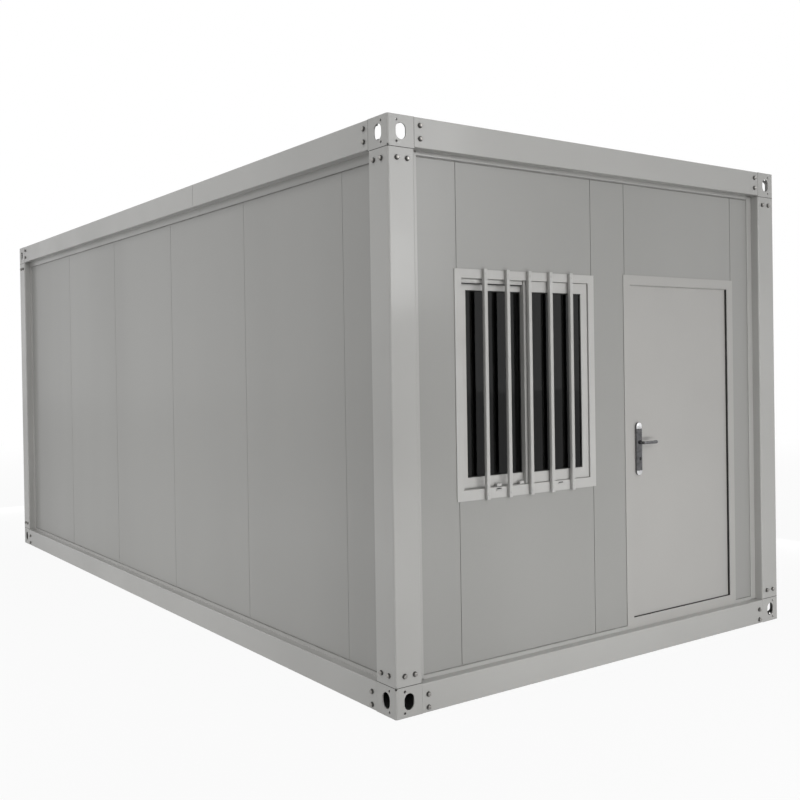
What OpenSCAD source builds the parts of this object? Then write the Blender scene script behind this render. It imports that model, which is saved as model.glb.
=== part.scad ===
// Portable steel cabin: bolted steel frame, sandwich-panel walls, one door and one sliding window.
// Millimetres. X runs across the width, Y along the length, Z up. The origin is at ground level,
// in the middle of the plan. The end with the door and the window faces -Y.

/* [Cabin] */
// Overall length
cabin_l = 5950; // [5000:10:7300]
// Overall width
cabin_w = 3000; // [2800:10:3600]
// Overall height
cabin_h = 2800; // [2600:10:3400]

/* [Frame] */
// Face width of the columns and corner fittings
corner_w = 155; // [140:1:190]
// Height of the top corner fittings
top_fitting_h = 150; // [140:1:190]
// Height of the bottom corner fittings
base_fitting_h = 145; // [140:1:190]
// Height of a roof beam's outer face
roof_beam_h = 143; // [125:1:150]
// Height of a floor beam's outer face
floor_beam_h = 140; // [120:1:145]
// Thickness of the rolled steel of beams and columns
steel_t = 4; // [2:0.5:6]
// Thickness of the fittings' plates
plate_t = 6; // [4:0.5:10]
// Outside radius of the bends of columns and fittings
bend_r = 9; // [7:1:14]
// Depth from the frame's outer face back to the wall's cover lips
recess = 50; // [35:1:60]
// Width of the cover lip down the side of each column
column_lip_w = 48; // [30:1:60]
// Height of the lip under the long roof beams
side_lip_h = 45; // [20:1:60]
// Height of the lip under the end roof beams
end_lip_h = 22; // [15:1:60]
// Height of the lip on the floor beams
floor_lip_h = 18; // [10:1:30]
// Width of the top flange of a roof beam
roof_flange_w = 60; // [40:1:80]
// Width of the bottom flange of a floor beam
foot_flange_w = 60; // [40:1:80]
// Distance of the splice in the long roof beams from the cabin's middle, towards the front
splice_x = 885; // [0:5:1500]
// Gap between the two spliced lengths of a long roof beam
splice_gap = 3; // [1:0.5:5]
// Length of the splice plate
splice_l = 240; // [150:5:400]

/* [Corner fittings] */
// Width of a lifting hole
lift_hole_w = 58; // [40:1:66]
// Height of a lifting hole
lift_hole_h = 78; // [60:1:90]
// Diameter of a linking bolt hole
link_hole_d = 13; // [8:0.5:18]
// Distance between the two linking bolt holes of a face
link_hole_pitch = 100; // [90:1:106]
// Distance of the linking bolt holes from the cabin's corner edge
link_hole_x = 52; // [30:1:56]
// Diameter of the small hole in the corner edge, above or below the column
relief_hole_d = 10; // [6:0.5:14]
// Reach of a fitting's tongue into a beam or a column
tongue_l = 75; // [60:1:120]
// Width of a tongue
tongue_w = 90; // [60:1:90]
// Depth of the middle of a roof beam's end bolts below the cabin's top
roof_bolt_drop = 69; // [60:1:85]
// Height of the middle of a floor beam's end bolts above the ground
floor_bolt_rise = 55; // [55:1:80]
// Width of the tapped bar behind a tongue
bolt_bar_w = 30; // [20:1:40]
// Thickness of the tapped bar behind a tongue
bolt_bar_t = 18; // [12:1:25]
// Distance of the beam's end bolts past the fitting
bolt_inset = 36; // [25:1:50]

/* [Walls] */
// Thickness of a wall panel
panel_t = 75; // [50:1:90]
// Width of the groove between two wall panels
panel_groove_w = 4; // [2:0.5:8]
// Depth of the groove between two wall panels
panel_groove_d = 3; // [3:0.5:12]
// Width of the narrow panel of a long wall, next to the front
side_strip_w = 260; // [150:5:500]
// Width of a whole panel of a long wall
side_panel_w = 1050; // [900:5:1200]

/* [Window] */
// Left edge of the window bay
window_x = -1055; // [-1150:5:-900]
// Width of the window bay
window_w = 950; // [800:5:960]
// Height of the window's opening above the ground
window_z = 980; // [700:5:1200]
// Height of the window's opening
window_h = 1112; // [900:5:1200]
// Overlap of the window's outer flange on the wall
window_flange = 16; // [10:1:30]
// Face width of the window's jambs and head, inside the flange
window_frame_w = 28; // [15:1:40]
// Face height of the window's sill, inside the flange
window_sill_h = 36; // [15:1:50]
// Reach of the window's fixed frame past the wall's inner face
window_reach = 5; // [4:1:12]
// Face width of a sash stile
sash_stile_w = 48; // [35:1:70]
// Face height of a sash rail
sash_rail_h = 54; // [35:1:70]
// Thickness of a sash
sash_t = 20; // [20:1:30]
// Overlap of the two sashes at the meeting stiles
sash_overlap = 48; // [30:1:70]
// Thickness of the glass
glass_t = 5; // [4:0.5:12]

/* [Door] */
// Left edge of the door bay
door_x = 165; // [0:5:200]
// Width of the door bay
door_w = 965; // [900:5:975]
// Top of the door frame inside the wall
door_top = 2110; // [1980:5:2300]
// Overlap of the door frame's outer flange on the wall
door_flange = 13; // [10:1:30]
// Face width of the door frame, from the bay's edge to the visible leaf
door_face_w = 42; // [35:1:60]
// Face height of the door frame's head, from the bay's edge to the visible leaf
door_head_w = 35; // [30:1:60]
// Height of the visible threshold above the floor beam
threshold_h = 58; // [40:1:70]
// Thickness of the door leaf
leaf_t = 45; // [35:1:50]
// Depth from the frame's face back to the leaf
leaf_set_back = 14; // [12:1:18]
// Lap of the frame's stop over the leaf
leaf_lap = 7; // [4:1:12]
// Running gap around the leaf
leaf_gap = 5; // [5:0.5:6]
// Diameter of a hinge barrel
hinge_barrel_d = 14; // [10:0.5:18]
// Diameter of a hinge pin
hinge_pin_d = 8; // [5:0.5:9]
// Length of a hinge
hinge_l = 120; // [80:1:160]

/* [Door handle] */
// Distance of the lever's spindle from the leaf's edge
spindle_inset = 72; // [50:1:90]
// Height of the lever's spindle above the ground
spindle_z = 1180; // [1000:5:1250]
// Width of the handle's plate
handle_plate_w = 46; // [30:1:50]
// Length of the handle's plate
handle_plate_l = 298; // [200:1:320]
// Thickness of the handle's plate
handle_plate_t = 11; // [5:0.5:12]
// Length of the lever
lever_l = 116; // [90:1:140]
// Diameter of the lever's arm
lever_d = 18; // [12:0.5:22]
// Distance from the plate to the middle of the lever's arm
lever_reach = 40; // [30:1:42]
// Diameter of the spindle
spindle_d = 10; // [7:0.5:12]

/* [Floor and roof] */
// Thickness of the floor board
floor_t = 18; // [12:1:25]
// Height of a floor joist
joist_h = 90; // [60:1:110]
// Width of a floor joist
joist_w = 40; // [30:1:60]
// Number of floor joists
joist_count = 11; // [7:1:15]
// Height of the skirting
skirting_h = 60; // [40:1:100]
// Thickness of the skirting
skirting_t = 12; // [8:1:15]
// Number of roof purlins
purlin_count = 6; // [4:1:10]
// Width of a purlin
purlin_w = 40; // [30:1:60]
// Rise of the roof from its long edges to the middle
roof_rise = 35; // [20:1:45]
// Thickness of the roof sheet
roof_sheet_t = 3; // [1:0.5:5]
// Height of a standing seam
roof_seam_h = 24; // [15:1:30]
// Width of a standing seam
roof_seam_w = 22; // [15:1:40]
// Distance between standing seams
roof_seam_pitch = 500; // [300:10:900]
// Thickness of the ceiling sheet
ceiling_t = 2; // [1:0.5:4]
// Depth of the ceiling's ribs
ceiling_rib_h = 10; // [5:1:15]
// Distance between the ceiling's ribs
ceiling_rib_pitch = 200; // [100:5:400]

/* [Hidden] */
$fn = 48;
cut = 1;
// Fitting gap between pieces that are bolted or slotted together
fit_gap = 0.5;
half_w = cabin_w / 2;
half_l = cabin_l / 2;
// Depths are measured inwards from the frame's outer face
wall_out = recess + steel_t;
wall_in = wall_out + panel_t;
// Heights
roof_base = cabin_h - top_fitting_h;
roof_beam_z = cabin_h - roof_beam_h;
floor_z = floor_beam_h + floor_t;
panel_bottom = floor_beam_h + fit_gap;
panel_top = roof_beam_z - fit_gap;
lip_start = corner_w + column_lip_w + fit_gap;
inner_lip_h = 25;
roof_flange_lip = 22;
tongue_margin = 6;
panel_end = half_w - corner_w - fit_gap;
side_end = half_l - corner_w - fit_gap;
// Joints of a long wall, from the rear to the front, as distances along the wall from its middle
least_panel_share = 0.25;
first_joint = half_l - corner_w - column_lip_w - side_strip_w;
joint_count = floor((first_joint + side_end) / side_panel_w - least_panel_share);
side_joints = [for (i = [joint_count : -1 : 0]) first_joint - i * side_panel_w];
// Window
window_x2 = window_x + window_w;
window_z2 = window_z + window_h;
window_in_x = window_x + window_frame_w;
window_in_x2 = window_x2 - window_frame_w;
window_in_z = window_z + window_sill_h;
window_in_z2 = window_z2 - window_frame_w;
sash_clear = 3;
sash_track_gap = 4;
sash_set_back = 8;
outer_sash_y = recess + sash_set_back;
inner_sash_y = outer_sash_y + sash_t + sash_track_gap;
sash_span = (window_in_x2 - window_in_x - 2 * sash_clear + sash_overlap) / 2;
inner_sash_x = window_in_x + sash_clear;
outer_sash_x = window_in_x2 - sash_clear - sash_span;
sash_z = window_in_z + sash_clear;
sash_h = window_in_z2 - window_in_z - 2 * sash_clear;
track_h = sash_clear - fit_gap;
inner_trim_t = 4;
inner_trim_w = 20;
// Door
door_x2 = door_x + door_w;
stop_x = door_x + door_face_w;
stop_x2 = door_x2 - door_face_w;
stop_z = floor_beam_h + threshold_h;
stop_z2 = door_top - door_head_w;
stop_depth = leaf_set_back - leaf_gap;
leaf_x = stop_x - leaf_lap;
leaf_x2 = stop_x2 + leaf_lap;
leaf_z = stop_z - leaf_lap;
leaf_z2 = stop_z2 + leaf_lap;
leaf_y = recess + leaf_set_back;
leaf_y2 = leaf_y + leaf_t;
frame_past_leaf = 3;
frame_y2 = leaf_y2 + frame_past_leaf;
lining_t = 3;
casing_w = 32;
// Hinge axis, at the right of the leaf and just inside it
hinge_offset = 3;
hinge_stand_off = 1;
hinge_x = leaf_x2 + hinge_offset;
hinge_y = frame_y2 + hinge_barrel_d / 2 + hinge_stand_off;
hinge_plate_t = 3;
hinge_plate_w = 30;
hinge_count = 3;
hinge_end = 230;
hinge_pitch = (leaf_z2 - leaf_z - 2 * hinge_end) / (hinge_count - 1);
knuckle_l = hinge_l / 3;
knuckle_gap = 1;
knuckle_web = 2;
pin_clearance = 0.1;
// Handle
spindle_x = leaf_x + spindle_inset;
plate_top_margin = 113;
lock_drop = 92;
lock_d = 18;
lock_proud = 2;
spindle_play = 6;
arm_y_out = leaf_y - handle_plate_t - lever_reach;
arm_y_in = leaf_y2 + handle_plate_t + lever_reach;
// Roof
roof_edge_rise = 58;
purlin_rise = 30;
roof_edge_z = roof_base + roof_edge_rise;
purlin_bottom = roof_base + purlin_rise;
sheet_inset = 105;
purlin_end = sheet_inset + roof_sheet_t + fit_gap;
ceiling_seat = 15;
ceiling_inset = corner_w - ceiling_seat;
ceiling_z = roof_beam_z + steel_t;
rib_foot_w = 40;
rib_top_w = 24;

// ---- Helpers -------------------------------------------------------------------------------

// Puts children, drawn with the cabin's corner at their origin and the cabin in +X and +Y, on a corner.
module at_corner(right, rear) {
  mirror([right ? 1 : 0, 0, 0])
    mirror([0, rear ? 1 : 0, 0])
      translate([-half_w, -half_l, 0]) children();
}

// Puts children, drawn along +X with their depth in +Y, on the front or the rear end.
module at_end(rear) {
  mirror([0, rear ? 1 : 0, 0]) translate([0, -half_l, 0]) children();
}

// Puts children, drawn along +X with their depth in +Y, on the left or the right side.
module at_side(right) {
  mirror([right ? 1 : 0, 0, 0]) translate([-half_w, 0, 0]) rotate([0, 0, -90]) children();
}

// A box given by two opposite corners.
module block(low, high) {
  translate(low) cube([high[0] - low[0], high[1] - low[1], high[2] - low[2]]);
}

// A rectangular ring in the XZ plane, from depth y to depth y2.
module ring(x, x2, z, z2, side_w, bottom_w, top_w, y, y2) {
  difference() {
    block([x, y, z], [x2, y2, z2]);
    block([x + side_w, y - cut, z + bottom_w], [x2 - side_w, y2 + cut, z2 - top_w]);
  }
}

// A long hole through a plate, drawn in the XY plane with its length along Y.
module obround(w, l, depth) {
  straight = l - w;
  translate([0, straight / 2, 0]) cylinder(d = w, h = depth);
  translate([0, -straight / 2, 0]) cylinder(d = w, h = depth);
  translate([-w / 2, -straight / 2, 0]) cube([w, straight, depth]);
}

// A square with rounded corners, or with only the one at the origin rounded.
module bent_square(size, r, all_corners) {
  ends = all_corners ? [r, size - r] : [r];
  difference() {
    square(size);
    for (x = ends, y = ends)
      translate([x < size / 2 ? -cut : x, y < size / 2 ? -cut : y]) square(r + cut);
  }
  for (x = ends, y = ends) translate([x, y]) circle(r);
}

// The outer edge of a bend, which is cut off a section's square corner. Its inside is in +X and +Y.
module bend_edge(r) {
  difference() {
    translate([-cut, -cut]) square(r + cut);
    translate([r, r]) circle(r);
  }
}

// ---- Frame ---------------------------------------------------------------------------------

// The holes of one upright face of a fitting, in the XZ plane.
module face_holes(h) {
  translate([corner_w / 2, plate_t + cut, h / 2]) rotate([90, 0, 0])
    obround(lift_hole_w, lift_hole_h, plate_t + 2 * cut);
  for (side = [-1, 1])
    translate([link_hole_x, plate_t + cut, h / 2 + side * link_hole_pitch / 2]) rotate([90, 0, 0])
      cylinder(d = link_hole_d, h = plate_t + 2 * cut);
}

// Swaps X and Y, so that what is drawn on one face comes out on the other.
module other_face() {
  mirror([1, -1, 0]) children();
}

// A tongue behind a beam's web, with its tapped bar, and one behind a column's face, on one side.
module tongues(h, bolt_mid) {
  tongue_start = corner_w / 2 + lift_hole_w / 2 + tongue_margin;
  bar_x = corner_w + bolt_inset - bolt_bar_w / 2;
  low = h - bolt_mid - tongue_w / 2;
  back = steel_t + plate_t;
  block([tongue_start, steel_t, low], [corner_w + tongue_l, back, low + tongue_w]);
  block([bar_x, back - cut, low], [bar_x + bolt_bar_w, back + bolt_bar_t, low + tongue_w]);
  block([(corner_w - tongue_w) / 2, steel_t, -tongue_l], [(corner_w + tongue_w) / 2, back, plate_t]);
}

// A corner fitting that stands on a column: its open inner sides show the frame behind it.
module fitting(h, bolt_mid) {
  difference() {
    union() {
      difference() {
        linear_extrude(h) bent_square(corner_w, bend_r, false);
        block([plate_t, plate_t, plate_t], [corner_w + cut, corner_w + cut, h - plate_t]);
      }
      tongues(h, bolt_mid);
      other_face() tongues(h, bolt_mid);
    }
    face_holes(h);
    other_face() face_holes(h);
    rotate([0, 90, 45]) translate([-relief_hole_d / 2, 0, -cut]) cylinder(d = relief_hole_d, h = 3 * plate_t);
    translate([corner_w / 2, corner_w / 2, h - plate_t - cut])
      obround(lift_hole_w, lift_hole_h, plate_t + 2 * cut);
  }
}

module top_fitting(right, rear) {
  color("gainsboro") at_corner(right, rear) translate([0, 0, roof_base])
    fitting(top_fitting_h, roof_bolt_drop);
}

module base_fitting(right, rear) {
  color("gainsboro") at_corner(right, rear)
    translate([0, 0, base_fitting_h]) mirror([0, 0, 1]) fitting(base_fitting_h, floor_bolt_rise);
}

// A column is a box section with a cover lip down each of its two walls.
module column(right, rear) {
  length = roof_base - base_fitting_h - 2 * fit_gap;
  color("gainsboro") at_corner(right, rear) translate([0, 0, base_fitting_h + fit_gap])
    linear_extrude(length) {
      difference() {
        bent_square(corner_w, bend_r, true);
        translate([steel_t, steel_t]) bent_square(corner_w - 2 * steel_t, bend_r - steel_t, true);
      }
      translate([corner_w - steel_t / 2, recess]) square([column_lip_w + steel_t / 2, steel_t]);
      translate([recess, corner_w - steel_t / 2]) square([steel_t, column_lip_w + steel_t / 2]);
    }
}

// Sections of the beams: X is the depth in from the outer face, Y is the height.
module roof_beam_section() {
  difference() {
    union() {
      translate([0, roof_beam_z]) square([steel_t, roof_beam_h]);
      translate([0, cabin_h - steel_t]) square([roof_flange_w, steel_t]);
      translate([roof_flange_w - steel_t, cabin_h - roof_flange_lip]) square([steel_t, roof_flange_lip]);
      translate([0, roof_beam_z]) square([corner_w, steel_t]);
    }
    translate([0, roof_beam_z]) bend_edge(steel_t);
    translate([0, cabin_h]) mirror([0, 1]) bend_edge(steel_t);
  }
}

module roof_lip_section(lip_h) {
  translate([recess, roof_beam_z - lip_h]) square([steel_t, lip_h + steel_t]);
  translate([wall_in, roof_beam_z - inner_lip_h]) square([steel_t, inner_lip_h + steel_t]);
}

module floor_beam_section() {
  difference() {
    union() {
      square([steel_t, floor_beam_h]);
      square([foot_flange_w, steel_t]);
      translate([0, floor_beam_h - steel_t]) square([corner_w, steel_t]);
    }
    bend_edge(steel_t);
    translate([0, floor_beam_h]) mirror([0, 1]) bend_edge(steel_t);
  }
}

module floor_lip_section() {
  translate([recess, floor_beam_h - steel_t]) square([steel_t, floor_lip_h + steel_t]);
}

// Extrudes a section along X, centred, so that its first axis is the depth in +Y.
module along_x(length) {
  translate([-length / 2, 0, 0]) rotate([90, 0, 90]) linear_extrude(length) children();
}

module roof_beam(span, lip_h) {
  along_x(span - 2 * corner_w - 2 * fit_gap) roof_beam_section();
  along_x(span - 2 * lip_start) roof_lip_section(lip_h);
}

module floor_beam(span) {
  along_x(span - 2 * corner_w - 2 * fit_gap) floor_beam_section();
  along_x(span - 2 * lip_start) floor_lip_section();
}

module roof_beam_end(rear) {
  color("gainsboro") at_end(rear) roof_beam(cabin_w, end_lip_h);
}

// A long roof beam is two lengths. The splice plate is welded to the front one and lies behind both.
module roof_beam_side(right) {
  low = cabin_h - roof_bolt_drop - tongue_w / 2;
  back = steel_t + plate_t;
  color("gainsboro") at_side(right) {
    difference() {
      roof_beam(cabin_l, side_lip_h);
      block([splice_x - splice_gap / 2, -cut, roof_beam_z - side_lip_h - cut],
            [splice_x + splice_gap / 2, corner_w + cut, cabin_h + cut]);
    }
    block([splice_x, steel_t, low], [splice_x + splice_l / 2, back, low + tongue_w]);
    block([splice_x - splice_l / 2, steel_t + fit_gap, low], [splice_x + cut, back, low + tongue_w]);
  }
}

// The front floor beam's lip stops on each side of the door frame.
module floor_beam_front() {
  color("gainsboro") at_end(false) difference() {
    floor_beam(cabin_w);
    block([door_x - door_flange - fit_gap, recess - cut, floor_beam_h],
          [door_x2 + door_flange + fit_gap, wall_out + cut, floor_z + cut]);
  }
}

module floor_beam_rear() {
  color("gainsboro") at_end(true) floor_beam(cabin_w);
}

module floor_beam_side(right) {
  color("gainsboro") at_side(right) floor_beam(cabin_l);
}

// ---- Walls ---------------------------------------------------------------------------------

// A wall panel from x to x2: the core meets its neighbours, the two faces stop short at a groove.
module panel(x, x2, z, z2) {
  groove = (panel_groove_w - fit_gap) / 2;
  block([x, wall_out + panel_groove_d, z], [x2, wall_in - panel_groove_d, z2]);
  block([x + groove, wall_out, z], [x2 - groove, wall_in, z2]);
}

module front_panel(x, x2, z, z2) {
  color("darkgray") at_end(false) panel(x, x2, z, z2);
}

module front_panel_left() {
  front_panel(-panel_end, window_x - fit_gap, panel_bottom, panel_top);
}

module front_panel_under_window() {
  front_panel(window_x, window_x2, panel_bottom, window_z - fit_gap);
}

module front_panel_over_window() {
  front_panel(window_x, window_x2, window_z2 + fit_gap, panel_top);
}

module front_panel_middle() {
  front_panel(window_x2 + fit_gap, door_x - fit_gap, panel_bottom, panel_top);
}

module front_panel_over_door() {
  front_panel(door_x, door_x2, door_top + fit_gap, panel_top);
}

module front_panel_right() {
  front_panel(door_x2 + fit_gap, panel_end, panel_bottom, panel_top);
}

// One row of panels between the given joints.
module panel_row(first, last, joints) {
  edges = concat([first - fit_gap / 2], joints, [last + fit_gap / 2]);
  for (i = [0 : len(edges) - 2])
    panel(edges[i] + fit_gap / 2, edges[i + 1] - fit_gap / 2, panel_bottom, panel_top);
}

module side_wall_panels(right) {
  color("gray") at_side(right) panel_row(-side_end, side_end, side_joints);
}

module rear_wall_panels() {
  rear_joints = [-side_panel_w / 2, side_panel_w / 2];
  color("gray") at_end(true) panel_row(-panel_end, panel_end, rear_joints);
}

// ---- Window --------------------------------------------------------------------------------

module window_frame() {
  out = window_flange;
  in = inner_trim_w;
  face_w = window_frame_w;
  color("white") at_end(false) {
    ring(window_x + fit_gap, window_x2 - fit_gap, window_z, window_z2,
         face_w - fit_gap, window_sill_h, face_w, recess, wall_in + window_reach);
    // Flange on the wall outside, trim on the wall inside
    ring(window_x - out, window_x2 + out, window_z - out, window_z2 + out,
         out + face_w, out + window_sill_h, out + face_w, recess, wall_out);
    ring(window_x - in, window_x2 + in, window_z - in, window_z2 + in,
         in + face_w, in + window_sill_h, in + face_w, wall_in, wall_in + inner_trim_t);
    // Tracks of the two sashes
    for (z = [window_in_z - fit_gap, window_in_z2 - track_h], y = [outer_sash_y, inner_sash_y])
      block([window_in_x - cut, y + sash_t / 3, z],
            [window_in_x2 + cut, y + sash_t * 2 / 3, z + track_h + fit_gap]);
  }
}

module sash(x, y) {
  ring(x, x + sash_span, sash_z, sash_z + sash_h, sash_stile_w, sash_rail_h, sash_rail_h, y, y + sash_t);
}

module window_sash_inner() {
  color("whitesmoke") at_end(false) sash(inner_sash_x, inner_sash_y);
}

module window_sash_outer() {
  color("whitesmoke") at_end(false) sash(outer_sash_x, outer_sash_y);
}

module pane(x, y) {
  block([x + sash_stile_w, y + (sash_t - glass_t) / 2, sash_z + sash_rail_h],
        [x + sash_span - sash_stile_w, y + (sash_t + glass_t) / 2, sash_z + sash_h - sash_rail_h]);
}

module window_glass() {
  color("dimgray", 0.6) at_end(false) {
    pane(inner_sash_x, inner_sash_y);
    pane(outer_sash_x, outer_sash_y);
  }
}

// ---- Door ----------------------------------------------------------------------------------

module door_frame() {
  x = door_x + fit_gap;
  x2 = door_x2 - fit_gap;
  z = floor_beam_h;
  rebate = leaf_lap + leaf_gap;
  color("silver") at_end(false) {
    // Outer flange with the stop
    ring(door_x - door_flange, door_x2 + door_flange, z, door_top + door_flange,
         stop_x - door_x + door_flange, stop_z - z, door_top + door_flange - stop_z2, recess, wall_out);
    ring(x, x2, z, door_top, stop_x - x, stop_z - z, door_top - stop_z2, recess, recess + stop_depth);
    // Jambs, head and sill beside the leaf
    ring(x, x2, z, door_top, stop_x - rebate - x, stop_z - rebate - z, door_top - stop_z2 - rebate,
         recess, frame_y2);
    // Lining of the wall's thickness and the casing around it, inside
    ring(x, x2, z, door_top, lining_t, lining_t, lining_t, frame_y2 - cut, wall_in + inner_trim_t);
    ring(door_x - casing_w, door_x2 + casing_w, floor_z + fit_gap, door_top + casing_w,
         casing_w + lining_t, cut, casing_w + lining_t, wall_in, wall_in + inner_trim_t);
  }
}

module door_leaf() {
  color("lightgray") at_end(false) difference() {
    block([leaf_x, leaf_y, leaf_z], [leaf_x2, leaf_y2, leaf_z2]);
    translate([spindle_x, leaf_y - cut, spindle_z]) rotate([-90, 0, 0])
      cylinder(d = spindle_d + spindle_play, h = leaf_t + 2 * cut);
  }
}

module each_hinge() {
  for (i = [0 : hinge_count - 1])
    translate([hinge_x, hinge_y, leaf_z + hinge_end + i * hinge_pitch]) children();
}

// Jamb side: a plate, the two outer knuckles and the pin.
module door_hinge_jamb() {
  color("silver") at_end(false) each_hinge() {
    for (side = [-1, 1])
      translate([0, 0, side * (knuckle_l + knuckle_gap) - knuckle_l / 2]) {
        cylinder(d = hinge_barrel_d, h = knuckle_l);
        block([0, frame_y2 - hinge_y, 0], [hinge_barrel_d / 2 + knuckle_web, 0, knuckle_l]);
      }
    block([hinge_barrel_d / 2, frame_y2 - hinge_y, -hinge_l / 2 - knuckle_gap],
          [door_x2 - fit_gap - lining_t - fit_gap - hinge_x, frame_y2 - hinge_y + hinge_plate_t,
           hinge_l / 2 + knuckle_gap]);
    translate([0, 0, -hinge_l / 2 - knuckle_gap]) cylinder(d = hinge_pin_d, h = hinge_l + 2 * knuckle_gap);
  }
}

// Leaf side: a plate on the leaf and the middle knuckle around the pin.
module door_hinge_leaf() {
  reach = hinge_barrel_d / 2;
  color("silver") at_end(false) each_hinge() difference() {
    union() {
      translate([0, 0, -knuckle_l / 2]) cylinder(d = hinge_barrel_d, h = knuckle_l);
      block([-reach, leaf_y2 - hinge_y, -knuckle_l / 2], [-cut, 0, knuckle_l / 2]);
      block([-reach - hinge_plate_w, leaf_y2 - hinge_y, -hinge_l / 2],
            [-reach + cut, leaf_y2 - hinge_y + hinge_plate_t, hinge_l / 2]);
    }
    translate([0, 0, -knuckle_l / 2 - cut])
      cylinder(d = hinge_pin_d + 2 * pin_clearance, h = knuckle_l + 2 * cut);
  }
}

// A plate with round ends, in the XZ plane, from depth y to y2, with the spindle's hole.
module handle_plate(y, y2) {
  r = handle_plate_w / 2;
  top = spindle_z + plate_top_margin;
  difference() {
    union() {
      block([spindle_x - r, y, top - handle_plate_l + r], [spindle_x + r, y2, top - r]);
      for (z = [top - r, top - handle_plate_l + r])
        translate([spindle_x, y, z]) rotate([-90, 0, 0]) cylinder(r = r, h = y2 - y);
      translate([spindle_x, y - lock_proud, spindle_z - lock_drop]) rotate([-90, 0, 0])
        cylinder(d = lock_d, h = y2 - y + 2 * lock_proud);
    }
    translate([spindle_x, y - cut, spindle_z]) rotate([-90, 0, 0])
      cylinder(d = spindle_d + 2 * pin_clearance, h = y2 - y + 2 * cut);
    block([spindle_x - lock_d, leaf_y, spindle_z - lock_drop - lock_d],
          [spindle_x + lock_d, leaf_y2, spindle_z - lock_drop + lock_d]);
  }
}

module door_handle_plates() {
  color("lightsteelblue") at_end(false) {
    handle_plate(leaf_y - handle_plate_t, leaf_y);
    handle_plate(leaf_y2, leaf_y2 + handle_plate_t);
  }
}

// One lever: a neck from the plate to the arm, and an arm that ends in a ball.
module lever(plate_y, arm_y) {
  low = min(plate_y, arm_y);
  translate([spindle_x, low, spindle_z]) rotate([-90, 0, 0]) cylinder(d = lever_d, h = abs(arm_y - plate_y));
  translate([spindle_x, arm_y, spindle_z]) sphere(d = lever_d);
  reach = lever_l - lever_d / 2;
  translate([spindle_x, arm_y, spindle_z]) rotate([0, 90, 0]) cylinder(d = lever_d, h = reach);
  translate([spindle_x + reach, arm_y, spindle_z]) sphere(d = lever_d);
}

module door_lever() {
  out_y = leaf_y - handle_plate_t - fit_gap;
  in_y = leaf_y2 + handle_plate_t + fit_gap;
  color("lightsteelblue") at_end(false) {
    lever(out_y, arm_y_out);
    lever(in_y, arm_y_in);
    translate([spindle_x, out_y - cut, spindle_z]) rotate([-90, 0, 0])
      cylinder(d = spindle_d, h = in_y - out_y + 2 * cut);
  }
}

// ---- Floor ---------------------------------------------------------------------------------

// The floor board fills the room and is notched around the columns.
module floor_board() {
  edge = wall_in + fit_gap;
  corner = corner_w + fit_gap;
  color("burlywood") difference() {
    block([-half_w + edge, -half_l + edge, floor_beam_h], [half_w - edge, half_l - edge, floor_z]);
    for (right = [false, true], rear = [false, true])
      at_corner(right, rear) block([0, 0, floor_beam_h - cut], [corner, corner, floor_z + cut]);
    at_end(false) block([door_x, 0, floor_beam_h - cut],
                        [door_x2, wall_in + inner_trim_t + fit_gap, floor_z + cut]);
  }
}

// Joists lie between the webs of the long floor beams and are notched under their top flanges.
module floor_joists() {
  first = -half_l + corner_w + tongue_l + joist_w;
  pitch = -2 * first / (joist_count - 1);
  under = floor_beam_h - steel_t;
  web = half_w - steel_t;
  flange = half_w - corner_w - fit_gap;
  color("dimgray") for (i = [0 : joist_count - 1])
    translate([0, first + i * pitch - joist_w / 2, 0]) {
      block([-web, 0, floor_beam_h - joist_h], [web, joist_w, under]);
      block([-flange, 0, under - cut], [flange, joist_w, floor_beam_h]);
    }
}

module skirting_run(x, x2) {
  block([x, wall_in, floor_z], [x2, wall_in + skirting_t, floor_z + skirting_h]);
}

module skirting() {
  end_x = half_w - max(corner_w, wall_in + skirting_t) - fit_gap;
  color("white") {
    at_end(false) {
      skirting_run(-end_x, door_x - casing_w - fit_gap);
      skirting_run(door_x2 + casing_w + fit_gap, end_x);
    }
    at_end(true) skirting_run(-end_x, end_x);
    for (right = [false, true])
      at_side(right) skirting_run(-side_end, side_end);
  }
}

// ---- Ceiling and roof ----------------------------------------------------------------------

// Outline of the ribbed ceiling sheet in the YZ plane.
module ceiling() {
  start = -half_l + ceiling_inset;
  count = floor((cabin_l - 2 * ceiling_inset) / ceiling_rib_pitch);
  margin = (cabin_l - 2 * ceiling_inset - count * ceiling_rib_pitch) / 2;
  wave = [for (i = [0 : count - 1]) let (y = start + margin + (i + 0.5) * ceiling_rib_pitch) each [
    [y - rib_foot_w / 2, 0], [y - rib_top_w / 2, ceiling_rib_h],
    [y + rib_top_w / 2, ceiling_rib_h], [y + rib_foot_w / 2, 0]
  ]];
  under = concat([[start, 0]], wave, [[-start, 0]]);
  over = [for (i = [len(under) - 1 : -1 : 0]) under[i] + [0, ceiling_t]];
  span = cabin_w - 2 * ceiling_inset;
  color("white") translate([-span / 2, 0, ceiling_z]) rotate([90, 0, 90])
    linear_extrude(span) polygon(concat(under, over));
}

// Outline of a low ridged strip across the cabin, in the XZ plane. The ridge's slope is the roof's.
module ridge_outline(half_span, bottom_z, over_sheet) {
  edge_z = roof_edge_z + over_sheet + roof_rise * (half_w - sheet_inset - half_span) / (half_w - sheet_inset);
  polygon([
    [-half_span, bottom_z], [half_span, bottom_z], [half_span, edge_z],
    [0, roof_edge_z + over_sheet + roof_rise], [-half_span, edge_z]
  ]);
}

// Extrudes an outline of the XZ plane along Y, centred on y.
module across(y, w) {
  translate([0, y + w / 2, 0]) rotate([90, 0, 0]) linear_extrude(w) children();
}

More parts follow.
